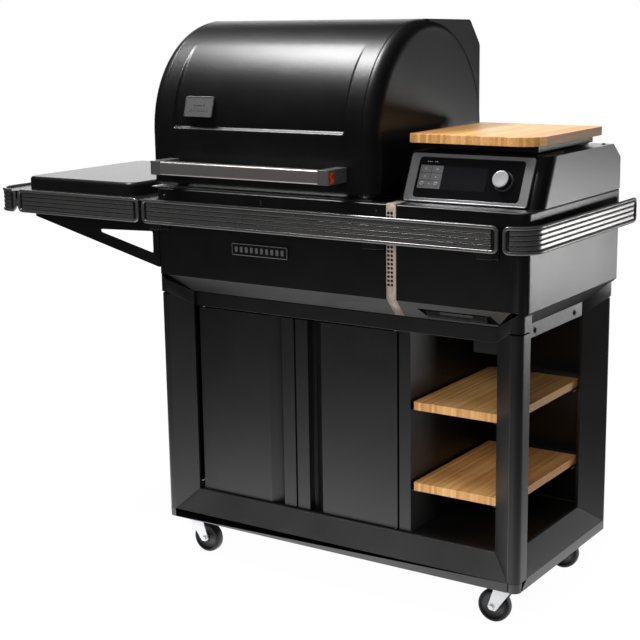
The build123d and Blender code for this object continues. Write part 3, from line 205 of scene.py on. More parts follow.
def bamboo(name, strip, across="x"):
    """Laminated bamboo: strips side by side, long fibres and nodes."""
    m = Shader(name, (0.6, 0.38, 0.19), 0.45, specular=0.4)
    split = m.add("ShaderNodeSeparateXYZ")
    m.link(m.place, split.inputs["Vector"])
    side = split.outputs["X" if across == "x" else "Y"]
    run = split.outputs["Y" if across == "x" else "X"]
    index = m.math("FLOOR", m.math("DIVIDE", side, strip))
    tone = m.add("ShaderNodeTexWhiteNoise", noise_dimensions="1D")
    m.link(index, tone.inputs["W"])
    joints = m.add("ShaderNodeCombineXYZ")
    m.link(index, joints.inputs["X"])
    m.link(m.math("MULTIPLY", run, 4.0), joints.inputs["Y"])
    scale = (330.0, 9.0, 330.0) if across == "x" else (9.0, 330.0, 330.0)
    fibre = m.noise(1.0, 5.0, 0.65, m.stretched(scale))
    streak = m.noise(1.0, 3.0, 0.5, m.stretched(tuple(s * 0.28 for s in scale)))
    base = m.ramp(tone.outputs["Value"], (0.0, (0.5, 0.25, 0.08)), (0.35, (0.62, 0.335, 0.12)),
                  (0.7, (0.7, 0.4, 0.155)), (1.0, (0.8, 0.49, 0.21)))
    grain = m.ramp(fibre, (0.4, (1, 1, 1)), (0.68, (0.7, 0.6, 0.5)))
    base = m.mix(0.75, base, grain, "MULTIPLY")
    base = m.mix(0.45, base, m.ramp(streak, (0.3, (0.82, 0.74, 0.66)), (0.7, (1, 1, 1))), "MULTIPLY")
    seam = m.math("ABSOLUTE", m.math("SUBTRACT", m.math("FRACT", m.math("DIVIDE", side, strip)), 0.5))
    base = m.mix(m.ramp(seam, (0.465, (0, 0, 0)), (0.495, (0.55, 0.55, 0.55))), base, (0.3, 0.14, 0.045))
    # short brown nodes where a cane had its joints
    cell = m.add("ShaderNodeTexVoronoi", feature="F1")
    cell.inputs["Scale"].default_value = 1.0
    mapping = m.stretched((1 / strip, 11.0, 1.0) if across == "x" else (11.0, 1 / strip, 1.0))
    m.link(mapping, cell.inputs["Vector"])
    knots = m.ramp(cell.outputs["Distance"], (0.0, (0.6, 0.6, 0.6)), (0.09, (0.35, 0.35, 0.35)),
                   (0.16, (0, 0, 0)))
    base = m.mix(knots, base, (0.27, 0.12, 0.04))
    m.colour(base)
    m.roughness(m.between(fibre, 0.38, 0.56))
    m.bump(fibre, 0.00006)
    return m.material


def gloss_glass(name, colour):
    m = Shader(name, colour, 0.06, specular=0.5, coat=0.6, coat_roughness=0.03)
    smear = m.noise(26.0, 4.0, 0.6)
    m.roughness(m.between(smear, 0.05, 0.14))
    return m.material


def moulded_plastic(name, colour, roughness, grain=500.0, specular=0.45):
    m = Shader(name, colour, roughness, specular=specular)
    grit = m.noise(grain, 3.0, 0.6)
    cloud = m.noise(9.0, 3.0)
    m.colour(m.mix(cloud, colour, tuple(c * 1.35 + 0.001 for c in colour)))
    m.roughness(m.between(grit, roughness - 0.05, roughness + 0.07))
    m.bump(grit, 0.00008)
    return m.material


def amber(name):
    """Orange-red lens with facets inside."""
    m = Shader(name, (0.62, 0.07, 0.012), 0.12, specular=0.6, coat=1.0, coat_roughness=0.04)
    cell = m.add("ShaderNodeTexVoronoi", feature="F1")
    cell.inputs["Scale"].default_value = 150.0
    m.link(m.place, cell.inputs["Vector"])
    # Each facet is painted brighter at its centre and darker towards its edges: painted glints and painted
    # shade of the facets.
    m.colour(m.ramp(cell.outputs["Distance"], (0.0, (0.95, 0.2, 0.05)), (0.4, (0.6, 0.06, 0.012)),
                    (0.8, (0.18, 0.014, 0.005))))
    m.bump(cell.outputs["Distance"], 0.0008)
    return m.material


MATERIALS = {
    "body_powder_coat": powder_coat("body_powder_coat", (0.0022, 0.0022, 0.0024), 0.35, 420.0, 0.00018),
    "cart_powder_coat": powder_coat("cart_powder_coat", (0.004, 0.004, 0.0041), 0.34, 700.0, 0.00012),
    # A copy of the cart powder coat five times lighter, for the bottom rails: painted sheen.
    "sill_coat_painted_sheen": powder_coat("sill_coat_painted_sheen", (0.02, 0.02, 0.0206), 0.36, 700.0, 0.00012),
    "rib_coat": powder_coat("rib_coat", (0.004, 0.004, 0.0041), 0.34, 900.0, 0.00002),
    "rail_coat": cast_metal("rail_coat", (0.17, 0.166, 0.164), 0.27, 900.0, 0.00003, 0.8),
    "handle_steel": brushed_metal("handle_steel", (0.4, 0.375, 0.36), 0.33, "x", 0.85),
    "handle_cast": cast_metal("handle_cast", (0.24, 0.235, 0.235), 0.34, metallic=0.8),
    "amber_insert": amber("amber_insert"),
    "zinc_plate": brushed_metal("zinc_plate", (0.5, 0.51, 0.52), 0.32, "z", 0.45),
    "caster_rubber": moulded_plastic("caster_rubber", (0.002, 0.002, 0.002), 0.5, specular=0.2),
    "bamboo": bamboo("bamboo", 0.0068),
    "bronze_trim": powder_coat("bronze_trim", (0.27, 0.215, 0.185), 0.42, 900.0, 0.00005),
    "bezel_metal": cast_metal("bezel_metal", (0.36, 0.36, 0.365), 0.3, 700.0, 0.00005, 0.75),
    "panel_glass": gloss_glass("panel_glass", (0.004, 0.004, 0.0045)),
    "knob_metal": cast_metal("knob_metal", (0.46, 0.46, 0.47), 0.36, 1200.0, 0.00003, 0.6),
    "stainless": brushed_metal("stainless", (0.42, 0.42, 0.42), 0.34, "x"),
    "pot_iron": cast_metal("pot_iron", (0.05, 0.045, 0.042), 0.65, 500.0, 0.0002, 0.6),
    "cover_black": moulded_plastic("cover_black", (0.004, 0.004, 0.0042), 0.36, 650.0),
    "badge_metal": cast_metal("badge_metal", (0.22, 0.215, 0.215), 0.4, 900.0, metallic=0.7),
    "inlet_plastic": moulded_plastic("inlet_plastic", (0.008, 0.008, 0.008), 0.45),
    "display_window": gloss_glass("display_window", (0.008, 0.008, 0.0095)),
    "key_grey": moulded_plastic("key_grey", (0.07, 0.07, 0.072), 0.35, 900.0),
    "mark_grey": moulded_plastic("mark_grey", (0.28, 0.28, 0.29), 0.4, 900.0),
}


# The bottom rails are shown in a lighter copy of the cart powder coat: painted sheen.
SHOWN_IN = {"rail_brackets": "cart_powder_coat", "cleanout_slide": "cart_powder_coat",
            "bottom_rails": "sill_coat_painted_sheen"}


# ---------------------------------------------------------------- CAD pieces
def refine(node, width=0.0, segments=2, angle=32.0):
    """A CAD node's own shape with its sharp edges broken; it stands in for the node."""
    source = nodes[node]
    mesh = source.data.copy()
    mesh.name = node + "_shown"
    bm = bmesh.new()
    bm.from_mesh(mesh)
    bmesh.ops.remove_doubles(bm, verts=bm.verts, dist=2e-6)
    bmesh.ops.dissolve_limit(bm, angle_limit=math.radians(0.4), verts=bm.verts, edges=bm.edges)
    bm.to_mesh(mesh)
    bm.free()
    mesh.polygons.foreach_set("use_smooth", [True] * len(mesh.polygons))
    mesh.set_sharp_from_angle(angle=math.radians(angle))
    mesh.materials.clear()
    mesh.materials.append(MATERIALS[SHOWN_IN.get(node, slot_of_node[node])])
    piece = bpy.data.objects.new(node + "_shown", mesh)
    bpy.context.scene.collection.objects.link(piece)
    if width:
        bevel = piece.modifiers.new("edges", "BEVEL")
        bevel.width = width
        bevel.segments = segments
        bevel.limit_method = "ANGLE"
        bevel.angle_limit = math.radians(angle)
        bevel.harden_normals = True
        bevel.use_clamp_overlap = True
    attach(piece, body_of_node[node])
    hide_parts(node)
    return piece


def paint_cad():
    for name, node in nodes.items():
        node.data.materials.clear()
        node.data.materials.append(MATERIALS[slot_of_node[name]])


# ---------------------------------------------------------------- mesh helpers
def add_piece(name, bm, material, body, replaces=(), smooth=35.0):
    """Turns a bmesh into a piece that rides on a body."""
    bmesh.ops.recalc_face_normals(bm, faces=bm.faces)
    mesh = bpy.data.meshes.new(name)
    bm.to_mesh(mesh)
    bm.free()
    mesh.polygons.foreach_set("use_smooth", [True] * len(mesh.polygons))
    mesh.set_sharp_from_angle(angle=math.radians(smooth))
    mesh.materials.append(MATERIALS[material] if isinstance(material, str) else material)
    piece = bpy.data.objects.new(name, mesh)
    bpy.context.scene.collection.objects.link(piece)
    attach(piece, body)
    if replaces:
        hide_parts(*replaces)
    return piece


def bevel(piece, width, segments=3, angle=30.0):
    item = piece.modifiers.new("edges", "BEVEL")
    item.width, item.segments = width, segments
    item.limit_method = "ANGLE"
    item.angle_limit = math.radians(angle)
    item.harden_normals = True
    return piece


def grid(bm, rows, closed_rows=False, closed_columns=False):
    """Quads between rows of points; returns the rows of vertices."""
    made = [[bm.verts.new(point) for point in row] for row in rows]
    count = len(made)
    for i in range(count if closed_rows else count - 1):
        here, there = made[i], made[(i + 1) % count]
        width = len(here)
        for j in range(width if closed_columns else width - 1):
            k = (j + 1) % width
            bm.faces.new((here[j], here[k], there[k], there[j]))
    return made


def sweep(bm, path, section, closed=False):
    """A closed section, in (outward, up), carried along frames of (place, outward, up)."""
    rows = [[place + outward * a + up * b for a, b in section] for place, outward, up in path]
    made = grid(bm, rows, closed_rows=closed, closed_columns=True)
    if not closed:
        bm.faces.new(made[0])
        bm.faces.new(list(reversed(made[-1])))


def rounded_section(a0, a1, b0, b1, radius, steps=3):
    """A rectangle with round corners, as (a, b) points."""
    points = []
    for ca, cb, start in ((a1 - radius, b1 - radius, 0), (a0 + radius, b1 - radius, 90),
                          (a0 + radius, b0 + radius, 180), (a1 - radius, b0 + radius, 270)):
        for step in range(steps + 1):
            t = math.radians(start + 90 * step / steps)
            points.append((ca + radius * math.cos(t), cb + radius * math.sin(t)))
    return points


def ring_section(radius, count=12):
    return [(radius * math.cos(math.tau * i / count), radius * math.sin(math.tau * i / count))
            for i in range(count)]


def smoothstep(low, high, value):
    t = min(1.0, max(0.0, (value - low) / (high - low)))
    return t * t * (3 - 2 * t)


def span(low, high, step):
    count = max(1, round((high - low) / step))
    return [low + (high - low) * i / count for i in range(count + 1)]


UP = Vector((0, 0, 1))


# ---------------------------------------------------------------- hood
HOOD_EDGE = 30 * MM
SCOOP_DEPTH = 9 * MM


def hood():
    """The barrel hood with its pressed front, rounded ends and squared rear."""
    low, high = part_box("hood_shell")
    liner_low, liner_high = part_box("hood_liner")
    base = liner_low.z
    front, back = low.y, liner_high.y + 4 * MM
    radius, middle = (back - front) / 2, (back + front) / 2
    spring = high.z - radius
    scoop_low, scoop_top = spring + 13 * MM, math.radians(52)
    scoop_left, scoop_right = low.x + 70 * MM, high.x - 76 * MM
    seams = (low.x + 34 * MM, high.x - 34 * MM)

    angles = [math.radians(a)
              for a in span(0, 2, 0.5) + span(2.2, 6, 0.2) + span(7, 56, 1.5) + span(58, 180, 3)]
    legs_up = [("leg", z) for z in span(base, spring, 12 * MM)[:-1]]
    stations = legs_up + [("arc", a) for a in angles] + [("back", z) for z in span(spring, base, 31 * MM)[1:]]

    def dent(x, kind, value):
        if kind != "arc" or value > scoop_top:
            return 0.0
        z = spring + radius * math.sin(value)
        sides = smoothstep(scoop_left, scoop_left + 9 * MM, x)
        sides *= 1 - smoothstep(scoop_right - 9 * MM, scoop_right, x)
        foot = smoothstep(scoop_low - 5 * MM, scoop_low + 4 * MM, z)
        share = 1 - value / scoop_top
        return SCOOP_DEPTH * sides * foot * share ** 0.9

    def seam(x):
        return sum(0.9 * MM * math.exp(-((x - place) / (1.1 * MM)) ** 2) for place in seams)

    def point(x, inset, station):
        kind, value = station
        if kind == "leg":
            return Vector((x, front + inset + seam(x), value))
        if kind == "back":
            return Vector((x, back - inset, value))
        reach = radius - inset - dent(x, kind, value) - seam(x)
        return Vector((x, middle - reach * math.cos(value), spring + reach * math.sin(value)))

    columns = []
    turns = [math.radians(a) for a in span(0, 90, 9)]
    columns += [(low.x + HOOD_EDGE * (1 - math.cos(t)), HOOD_EDGE * (1 - math.sin(t))) for t in turns]
    inner = sorted(set([x for x in span(low.x + HOOD_EDGE, high.x - HOOD_EDGE, 24 * MM)[1:-1]
                        if min(abs(x - place) for place in seams) > 6 * MM]
                       + [place + step * 0.55 * MM for place in seams for step in range(-6, 7)]
                       + span(scoop_left - 2 * MM, scoop_left + 12 * MM, 1 * MM)
                       + span(scoop_right - 12 * MM, scoop_right + 2 * MM, 1 * MM)))
    columns += [(x, 0.0) for x in inner]
    columns += [(high.x - HOOD_EDGE * (1 - math.cos(t)), HOOD_EDGE * (1 - math.sin(t)))
                for t in reversed(turns)]

    bm = bmesh.new()
    rows = [[point(x, inset, station) for station in stations] for x, inset in columns]
    made = grid(bm, rows)
    bm.faces.new(made[0])
    bm.faces.new(list(reversed(made[-1])))
    skin = add_piece("hood_skin", bm, "body_powder_coat", "hood", replaces=("hood_shell",), smooth=50)
    wall = skin.modifiers.new("wall", "SOLIDIFY")
    wall.thickness, wall.offset = 2.5 * MM, -1.0

    recess, round_end = 12 * MM, 3 * MM
    top, wall_line = spring + radius, radius - 1.2 * MM

    def rounded_line(corners, reach):
        """The corners joined by straight runs, with every true corner eased."""
        line = [corners[0]]
        for before, here, after in zip(corners, corners[1:], corners[2:]):
            run_in, run_out = (here - before).normalized(), (after - here).normalized()
            if run_in.dot(run_out) > 0.999:
                line.append(here)
                continue
            start, end = here - run_in * reach, here + run_out * reach
            line += [start * (1 - t) ** 2 + here * 2 * t * (1 - t) + end * t * t
                     for t in (0, 0.25, 0.5, 0.75, 1)]
        return line + [corners[-1]]

    back_face = back + 0.4 * MM
    rear = ((middle - 2 * MM, top - 0.1 * MM), (back - 49 * MM, top - 4 * MM), (back_face, top - 62 * MM),
            (back_face, spring + 20 * MM), (back_face, spring), (back_face, base))
    outer = rounded_line([Vector(p) for p in rear], 7 * MM)
    inner = [Vector((back - 1.2 * MM, base))]
    inner += [Vector((middle - wall_line * math.cos(a), spring + wall_line * math.sin(a)))
              for a in (math.radians(d) for d in span(180, 90, 5))]

    def rear_section(inset):
        """The squared rear outside the barrel: its outer line, then back along the barrel's wall."""
        line = []
        for index, here in enumerate(outer):
            run = (outer[min(index + 1, len(outer) - 1)] - outer[max(index - 1, 0)]).normalized()
            above = here.y - spring
            room = Vector((here.x - middle, above)).length - wall_line if above > 0 else 1.6 * MM
            line.append(here - Vector((-run.y, run.x)) * min(inset, 0.8 * room))
        line[-1].y = base
        return line + inner

    ends = [(round_end * (1 - math.cos(t)), round_end * (1 - math.sin(t))) for t in turns]
    bm = bmesh.new()
    rows = [[Vector((low.x + recess + dx, y, z)) for y, z in rear_section(inset)] for dx, inset in ends]
    rows += [[Vector((high.x - recess - dx, y, z)) for y, z in rear_section(inset)]
             for dx, inset in reversed(ends)]
    made = grid(bm, rows, closed_columns=True)
    bm.faces.new(made[0])
    bm.faces.new(list(reversed(made[-1])))
    add_piece("hood_rear", bm, "body_powder_coat", "hood", smooth=40)

    for index, x in enumerate((-170 * MM, 250 * MM)):
        bm = bmesh.new()
        leaf = rounded_section(-12 * MM, 12 * MM, -24 * MM, 24 * MM, 4 * MM)
        rows = [[Vector((x + a, y, base + 18 * MM + b)) for a, b in leaf]
                for y in (back + 0.6 * MM, back + 3 * MM)]
        made = grid(bm, rows, closed_columns=True)
        bm.faces.new(made[0])
        bm.faces.new(list(reversed(made[-1])))
        knuckle = [(Vector((x + dx, 268 * MM, 912 * MM)), Vector((0, 1, 0)), UP)
                   for dx in (-12 * MM, 12 * MM)]
        sweep(bm, knuckle, ring_section(6 * MM, 20))
        add_piece("hood_hinge_leaf_%d" % index, bm, "zinc_plate", "hood")


# ---------------------------------------------------------------- rails
ROD = 4 * MM
RAIL_CORNER = 14 * MM
RIDGES = 4


def straight_path(start, end):
    """Frames along a straight run; outward is to its right-hand side seen from above."""
    start, end = Vector(start), Vector(end)
    along = (end - start).normalized()
    outward = along.cross(UP)
    length = (end - start).length

    def at(s):
        return start + along * s, outward

    return at, length, [0.0, length]


def bent_path(start, corner, end, radius):
    """Frames along two straight runs joined by an arc."""
    start, corner, end = Vector(start), Vector(corner), Vector(end)
    first, second = (corner - start), (end - corner)
    run_a, run_b = first.length - radius, second.length - radius
    d1, d2 = first.normalized(), second.normalized()
    o1, o2 = d1.cross(UP), d2.cross(UP)
    centre = corner - d1 * radius + d2 * radius
    sweep_angle = math.pi / 2
    arc = radius * sweep_angle
    length = run_a + arc + run_b

    def at(s):
        if s <= run_a:
            return start + d1 * s, o1
        if s >= run_a + arc:
            return corner + d2 * (radius + s - run_a - arc), o2
        t = (s - run_a) / radius
        outward = o1 * math.cos(t) + o2 * math.sin(t)
        return centre + outward * radius, outward

    stops = [0.0] + [run_a + arc * i / 16 for i in range(17)] + [length]
    return at, length, stops


def loop_points(length, low, high, stops):
    """The rod's centre line in (along, up), round a rectangle with round corners."""
    r = RAIL_CORNER - ROD
    s0, s1, z0, z1 = ROD, length - ROD, low + ROD, high - ROD
    points = []
    middle = [s for s in stops if s0 + r < s < s1 - r]
    for step in range(9):
        t = math.radians(180 + 90 * step / 8)
        points.append((s0 + r + r * math.cos(t), z0 + r + r * math.sin(t)))
    points += [(s, z0) for s in middle]
    for step in range(9):
        t = math.radians(270 + 90 * step / 8)
        points.append((s1 - r + r * math.cos(t), z0 + r + r * math.sin(t)))
    for step in range(9):
        t = math.radians(90 * step / 8)
        points.append((s1 - r + r * math.cos(t), z1 - r + r * math.sin(t)))
    points += [(s, z1) for s in reversed(middle)]
    for step in range(9):
        t = math.radians(90 + 90 * step / 8)
        points.append((s0 + r + r * math.cos(t), z1 - r + r * math.sin(t)))
    return points


def rail(name, path, low, high, replaces=()):
    """Rod loop, backing plate and pressed ridges along a path."""
    at, length, stops = path
    bm = bmesh.new()
    frames = []
    points = loop_points(length, low, high, stops)
    count = len(points)
    for i, (s, z) in enumerate(points):
        place, outward = at(s)
        centre = place - outward * ROD + UP * z
        before, after = points[i - 1], points[(i + 1) % count]
        p0, p1 = at(before[0])[0] + UP * before[1], at(after[0])[0] + UP * after[1]
        along = (p1 - p0).normalized()
        frames.append((centre, outward, along.cross(outward).normalized()))
    sweep(bm, frames, ring_section(ROD, 14), closed=True)

    def bar(s0, s1, section):
        inside = [s0] + [s for s in stops if s0 + 0.5 * MM < s < s1 - 0.5 * MM] + [s1]
        sweep(bm, [(at(s)[0], at(s)[1], UP) for s in inside], section)

    inner_low, inner_high = low + 2 * ROD - 1 * MM, high - 2 * ROD + 1 * MM
    pitch = (inner_high - inner_low - 2 * MM) / RIDGES
    for index in range(RIDGES):
        z0 = inner_low + 1 * MM + pitch * index
        bar(16 * MM, length - 16 * MM,
            rounded_section(-6.0 * MM, -2.2 * MM, z0 + 0.9 * MM, z0 + pitch - 0.9 * MM, 1.3 * MM, 4))
    add_piece(name, bm, "rail_coat", "cart", replaces=replaces, smooth=45)
    bm = bmesh.new()
    bar(ROD, length - ROD, rounded_section(-6.9 * MM, -5.4 * MM, inner_low, inner_high, 0.4 * MM, 1))
    add_piece(name + "_plate", bm, "rib_coat", "cart", smooth=45)


def rails():
    low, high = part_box("front_rails")
    corner_low, corner_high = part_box("corner_rails")
    z0, z1 = low.z, high.z
    face = low.y
    bend = 57 * MM
    rail("front_rail", straight_path((-260 * MM, face, 0), (673 * MM, face, 0)), z0, z1,
         replaces=("front_rails",))
    rail("shelf_front_rail", straight_path((low.x, face, 0), (-270 * MM, face, 0)), z0, z1)
    rail("right_rail", bent_path((682.5 * MM, face, 0), (corner_high.x, face, 0),
                                 (corner_high.x, corner_high.y, 0), bend), z0, z1, replaces=("corner_rails",))
    rail("left_rail", bent_path((corner_low.x, corner_high.y, 0), (corner_low.x, face, 0),
                                (-675 * MM, face, 0), bend), z0, z1)


# ---------------------------------------------------------------- bronze strip with its perforations
def perforated_strip():
    """Thin bronze cover with two columns of small holes, wrapped over the casing's edge."""
    low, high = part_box("bronze_strip")
    case_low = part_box("body_shell")[0]
    face = low.y
    x0, x1 = low.x, high.x
    pitch = 9.1 * MM
    hole = 3.4 * MM
    top, foot = high.z, low.z
    rows = int((172 * MM) / pitch)
    first = top - 20 * MM
    columns = (x0 + 5.0 * MM, x0 + 13.4 * MM)
    edges_x = [x0, (columns[0] + columns[1]) / 2, columns[1] + (columns[1] - columns[0]) / 2]
    bm = bmesh.new()
    sides = 12

    def quad(xa, xb, za, zb):
        corners = [bm.verts.new((x, face, z)) for x, z in ((xa, za), (xb, za), (xb, zb), (xa, zb))]
        bm.faces.new(corners)

    def cell(xa, xb, za, zb, cx, cz):
        outer, inner = [], []
        for i in range(sides):
            t = math.tau * (i + 0.5) / sides
            c, s = math.cos(t), math.sin(t)
            reach_x = ((xb if c > 0 else xa) - cx) / c if abs(c) > 1e-9 else 9
            reach_z = ((zb if s > 0 else za) - cz) / s if abs(s) > 1e-9 else 9
            reach = min(abs(reach_x), abs(reach_z))
            outer.append(bm.verts.new((cx + c * reach, face, cz + s * reach)))
            inner.append(bm.verts.new((cx + c * hole, face, cz + s * hole)))
        for i in range(sides):
            k = (i + 1) % sides
            bm.faces.new((outer[i], outer[k], inner[k], inner[i]))
            a, b = outer[i].co, outer[k].co
            if abs(a.x - b.x) > 1e-9 and abs(a.z - b.z) > 1e-9:
                corner = (xb if a.x + b.x > 2 * cx else xa, face, zb if a.z + b.z > 2 * cz else za)
                bm.faces.new((outer[i], bm.verts.new(corner), outer[k]))

    for row in range(rows):
        z_mid = first - row * pitch
        for column, cx in enumerate(columns):
            cell(edges_x[column], edges_x[column + 1], z_mid - pitch / 2, z_mid + pitch / 2, cx, z_mid)
    z_high, z_low = first + pitch / 2, first - rows * pitch + pitch / 2
    quad(x0, edges_x[2], z_high, top)
    quad(x0, edges_x[2], foot, z_low)
    quad(edges_x[2], x1, foot, top)
    fold = ((x0, face, top), (x1, face, top), (x1, high.y, top), (x0, high.y, top))
    bm.faces.new([bm.verts.new(p) for p in fold])
    bevel_low = 36 * MM
    wrap = [bm.verts.new(p) for p in ((x0, face, foot), (x1, face, foot), (x1, case_low.y, 706 * MM),
                                      (x0, case_low.y, 706 * MM))]
    bm.faces.new(wrap)
    under = ((x0, case_low.y - 0.4 * MM, 706 * MM), (x1, case_low.y - 0.4 * MM, 706 * MM),
             (x1, case_low.y + bevel_low - 1 * MM, 666 * MM), (x0, case_low.y + bevel_low - 1 * MM, 666 * MM))
    bm.faces.new([bm.verts.new(p) for p in under])
    bmesh.ops.remove_doubles(bm, verts=bm.verts, dist=1e-5)
    strip = add_piece("bronze_cover", bm, "bronze_trim", "cart", replaces=("bronze_strip",))
    wall = strip.modifiers.new("wall", "SOLIDIFY")
    wall.thickness, wall.offset = 0.8 * MM, -1.0


def slab(bm, place, across, up, out, a0, a1, b0, b1, d0, d1, radius=1 * MM, steps=3):
    """A rounded rectangle with thickness, in a plane through a place."""
    section = rounded_section(a0, a1, b0, b1, radius, steps)
    rows = [[place + across * a + up * b + out * d for a, b in section] for d in (d0, d1)]
    made = grid(bm, rows, closed_columns=True)
    bm.faces.new(made[0])
    bm.faces.new(list(reversed(made[-1])))


def lathe(bm, centre, axis, profile, segments=48):
    """A solid of revolution from (radius, along) points, closed on the axis at both ends."""
    axis = axis.normalized()
    side = axis.orthogonal().normalized()
    other = axis.cross(side)
    rows = []
    for radius, along in profile:
        rows.append([centre + axis * along + (side * math.cos(t) + other * math.sin(t)) * radius
                     for t in (math.tau * i / segments for i in range(segments))])
    made = grid(bm, rows, closed_columns=True)
    bm.faces.new(made[0])
    bm.faces.new(list(reversed(made[-1])))


def middle_of(node):
    low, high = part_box(node)
    return (Vector(low) + Vector(high)) / 2


# ---------------------------------------------------------------- control panel
ACROSS = Vector((1, 0, 0))
FORWARD = Vector((0, -1, 0))
PANEL_FOOT = Vector((0, -200 * MM, 912 * MM))
PANEL_UP = (Vector((0, -153 * MM, 1012 * MM)) - PANEL_FOOT).normalized()
PANEL_OUT = Vector((0, -PANEL_UP.z, PANEL_UP.y))


def on_panel(x, up, out=0.0):
    return PANEL_FOOT + ACROSS * x * MM + PANEL_UP * up * MM + PANEL_OUT * out * MM


def panel_slab(bm, x0, x1, u0, u1, d0, d1, radius=1.0):
    slab(bm, PANEL_FOOT, ACROSS, PANEL_UP, PANEL_OUT, x0 * MM, x1 * MM, u0 * MM, u1 * MM, d0 * MM, d1 * MM,
         radius * MM)


def panel_details():
    face = 3.0
    bm = bmesh.new()
    panel_slab(bm, 480, 585, 30, 82, face, face + 0.25, 1.5)
    add_piece("display_window", bm, MATERIALS["display_window"], "cart")
    bm = bmesh.new()
    for x0, x1, u0, u1 in ((423.5, 450.3, 66.5, 83), (451.1, 478.5, 66.5, 83), (423.5, 450.3, 49.5, 65.7),
                           (451.1, 478.5, 49.5, 65.7), (423.5, 478.5, 31, 48.7)):
        panel_slab(bm, x0, x1, u0, u1, face, face + 0.3, 0.8)
    add_piece("key_block", bm, MATERIALS["key_grey"], "cart")
    bm = bmesh.new()
    top = face + 0.3
    place = on_panel(437, 75, top)
    lathe_ring(bm, place, PANEL_OUT, 2.3 * MM, 1.6 * MM, 0.2 * MM)
    for offset in (-2.0, 0.0, 2.0):
        panel_slab(bm, 464.5 + offset - 0.45, 464.5 + offset + 0.45, 72.8, 77.2, top, top + 0.2, 0.4)
        panel_slab(bm, 434.8, 439.2, 57.4 + offset - 0.4, 57.4 + offset + 0.4, top, top + 0.2, 0.38)
    panel_slab(bm, 462.2, 466.8, 56.9, 57.9, top, top + 0.2, 0.4)
    panel_slab(bm, 464.0, 465.0, 55.1, 59.7, top, top + 0.2, 0.4)
    for x in (437.0, 441.5, 446.0, 455.0, 459.5):
        panel_slab(bm, x, x + 2.6, 90.5, 92.0, face, face + 0.2, 0.6)
    panel_slab(bm, 449.2, 451.8, 40.3, 42.9, top, top + 0.25, 1.2)
    add_piece("key_marks", bm, MATERIALS["mark_grey"], "cart")
    bm = bmesh.new()
    for x in (433.5, 467.5):
        place = on_panel(x, 41.5, face)
        profile = [(1.7, 0.0), (1.7, 2.4), (2.2, 2.9), (3.3, 2.9), (3.7, 2.3), (4.4, 2.2), (5.0, 1.6),
                   (5.0, 0.0)]
        lathe_open(bm, place, PANEL_OUT, [(r * MM, a * MM) for r, a in profile], 32)
    add_piece("probe_rings", bm, "knob_metal", "cart", smooth=40)


def bezel_sill():
    """The rounded metal lip along the foot of the panel frame."""
    bm = bmesh.new()
    section = [(math.cos(math.radians(t)), math.sin(math.radians(t))) for t in range(-30, 151, 20)]
    rows = []
    for x in span(400.5, 686.0, 15.0):
        rows.append([on_panel(x, 1.2 + 2.4 * up, 4.0 + 2.6 * out) for out, up in section]
                    + [on_panel(x, 1.2, 0.6)])
    made = grid(bm, rows, closed_columns=True)
    bm.faces.new(made[0])
    bm.faces.new(list(reversed(made[-1])))
    add_piece("bezel_sill", bm, "bezel_metal", "cart", smooth=60)


def lathe_open(bm, centre, axis, profile, segments=48):
    """A turned ring with a hole through it."""
    axis = axis.normalized()
    side = axis.orthogonal().normalized()
    other = axis.cross(side)
    rows = []
    for radius, along in profile:
        rows.append([centre + axis * along + (side * math.cos(t) + other * math.sin(t)) * radius
                     for t in (math.tau * i / segments for i in range(segments))])
    grid(bm, rows, closed_rows=True, closed_columns=True)


def lathe_ring(bm, centre, axis, outer, inner, height):
    lathe_open(bm, centre, axis, [(inner, 0.0), (inner, height), (outer, height), (outer, 0.0)], 24)


def knob():
    body = body_of_node["knob_cap"]
    foot = on_panel(625.5, 55.0)
    bm = bmesh.new()
    side = [(5.2, 8.5), (18.6, 8.5), (19.4, 9.2), (20.0, 11.0), (20.0, 18.6), (19.6, 20.2), (18.8, 21.2),
            (18.0, 21.4), (5.2, 21.4)]
    lathe_open(bm, foot, PANEL_OUT, [(r * MM, a * MM) for r, a in side], 72)
    add_piece("knob_body", bm, "cover_black", body, replaces=("knob_cap",), smooth=40)
    bm = bmesh.new()
    face = [(18.3, 20.6), (18.3, 21.5), (17.8, 22.2), (16.6, 22.45), (14.0, 22.3), (9.0, 22.0), (0.4, 21.8)]
    lathe(bm, foot, PANEL_OUT, [(r * MM, a * MM) for r, a in face], 72)
    add_piece("knob_face", bm, "knob_metal", body, smooth=50)


# ---------------------------------------------------------------- badge and plate
def relief_plate(node, rim_material, field_material, marks, height, depth=4.0, rim_width=1.5):
    """A pressed plate that may lean back: raised rim, recessed field and plain raised marks."""
    low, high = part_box(node)
    body = body_of_node[node]
    height, depth = height * MM, depth * MM
    deep, tall = high.y - low.y, high.z - low.z
    upright = (height * tall - depth * deep) / (height ** 2 - depth ** 2)
    lean = (height * deep - depth * tall) / (height ** 2 - depth ** 2)
    across, up, out = Vector((1, 0, 0)), Vector((0, lean, upright)), Vector((0, -upright, lean))
    place = Vector((low.x, low.y + depth * upright, low.z))
    width = high.x - low.x
    bm = bmesh.new()
    slab(bm, place, across, up, out, 0, width, 0, height, 0, depth - 0.9 * MM, 3 * MM, 5)
    add_piece(node + "_field", bm, field_material, body, replaces=(node,), smooth=40)
    bm = bmesh.new()
    edge = rim_width * MM
    outer = rounded_section(0, width, 0, height, 3.2 * MM, 5)
    rim = rounded_section(edge, width - edge, edge, height - edge, 2.2 * MM, 5)
    levels = [(outer, depth - 0.9 * MM), (outer, depth - 0.25 * MM),
              (shrunk(outer, width, height, 0.35 * MM), depth),
              (rim, depth), (rim, depth - 0.9 * MM)]
    grid(bm, [[place + across * a + up * b + out * d for a, b in section] for section, d in levels],
         closed_columns=True)
    for a0, a1, b0, b1 in marks(width, height):
        slab(bm, place, across, up, out, a0, a1, b0, b1, depth - 0.9 * MM, depth - 0.1 * MM, 0.7 * MM)
    add_piece(node + "_rim", bm, rim_material, body, smooth=40)


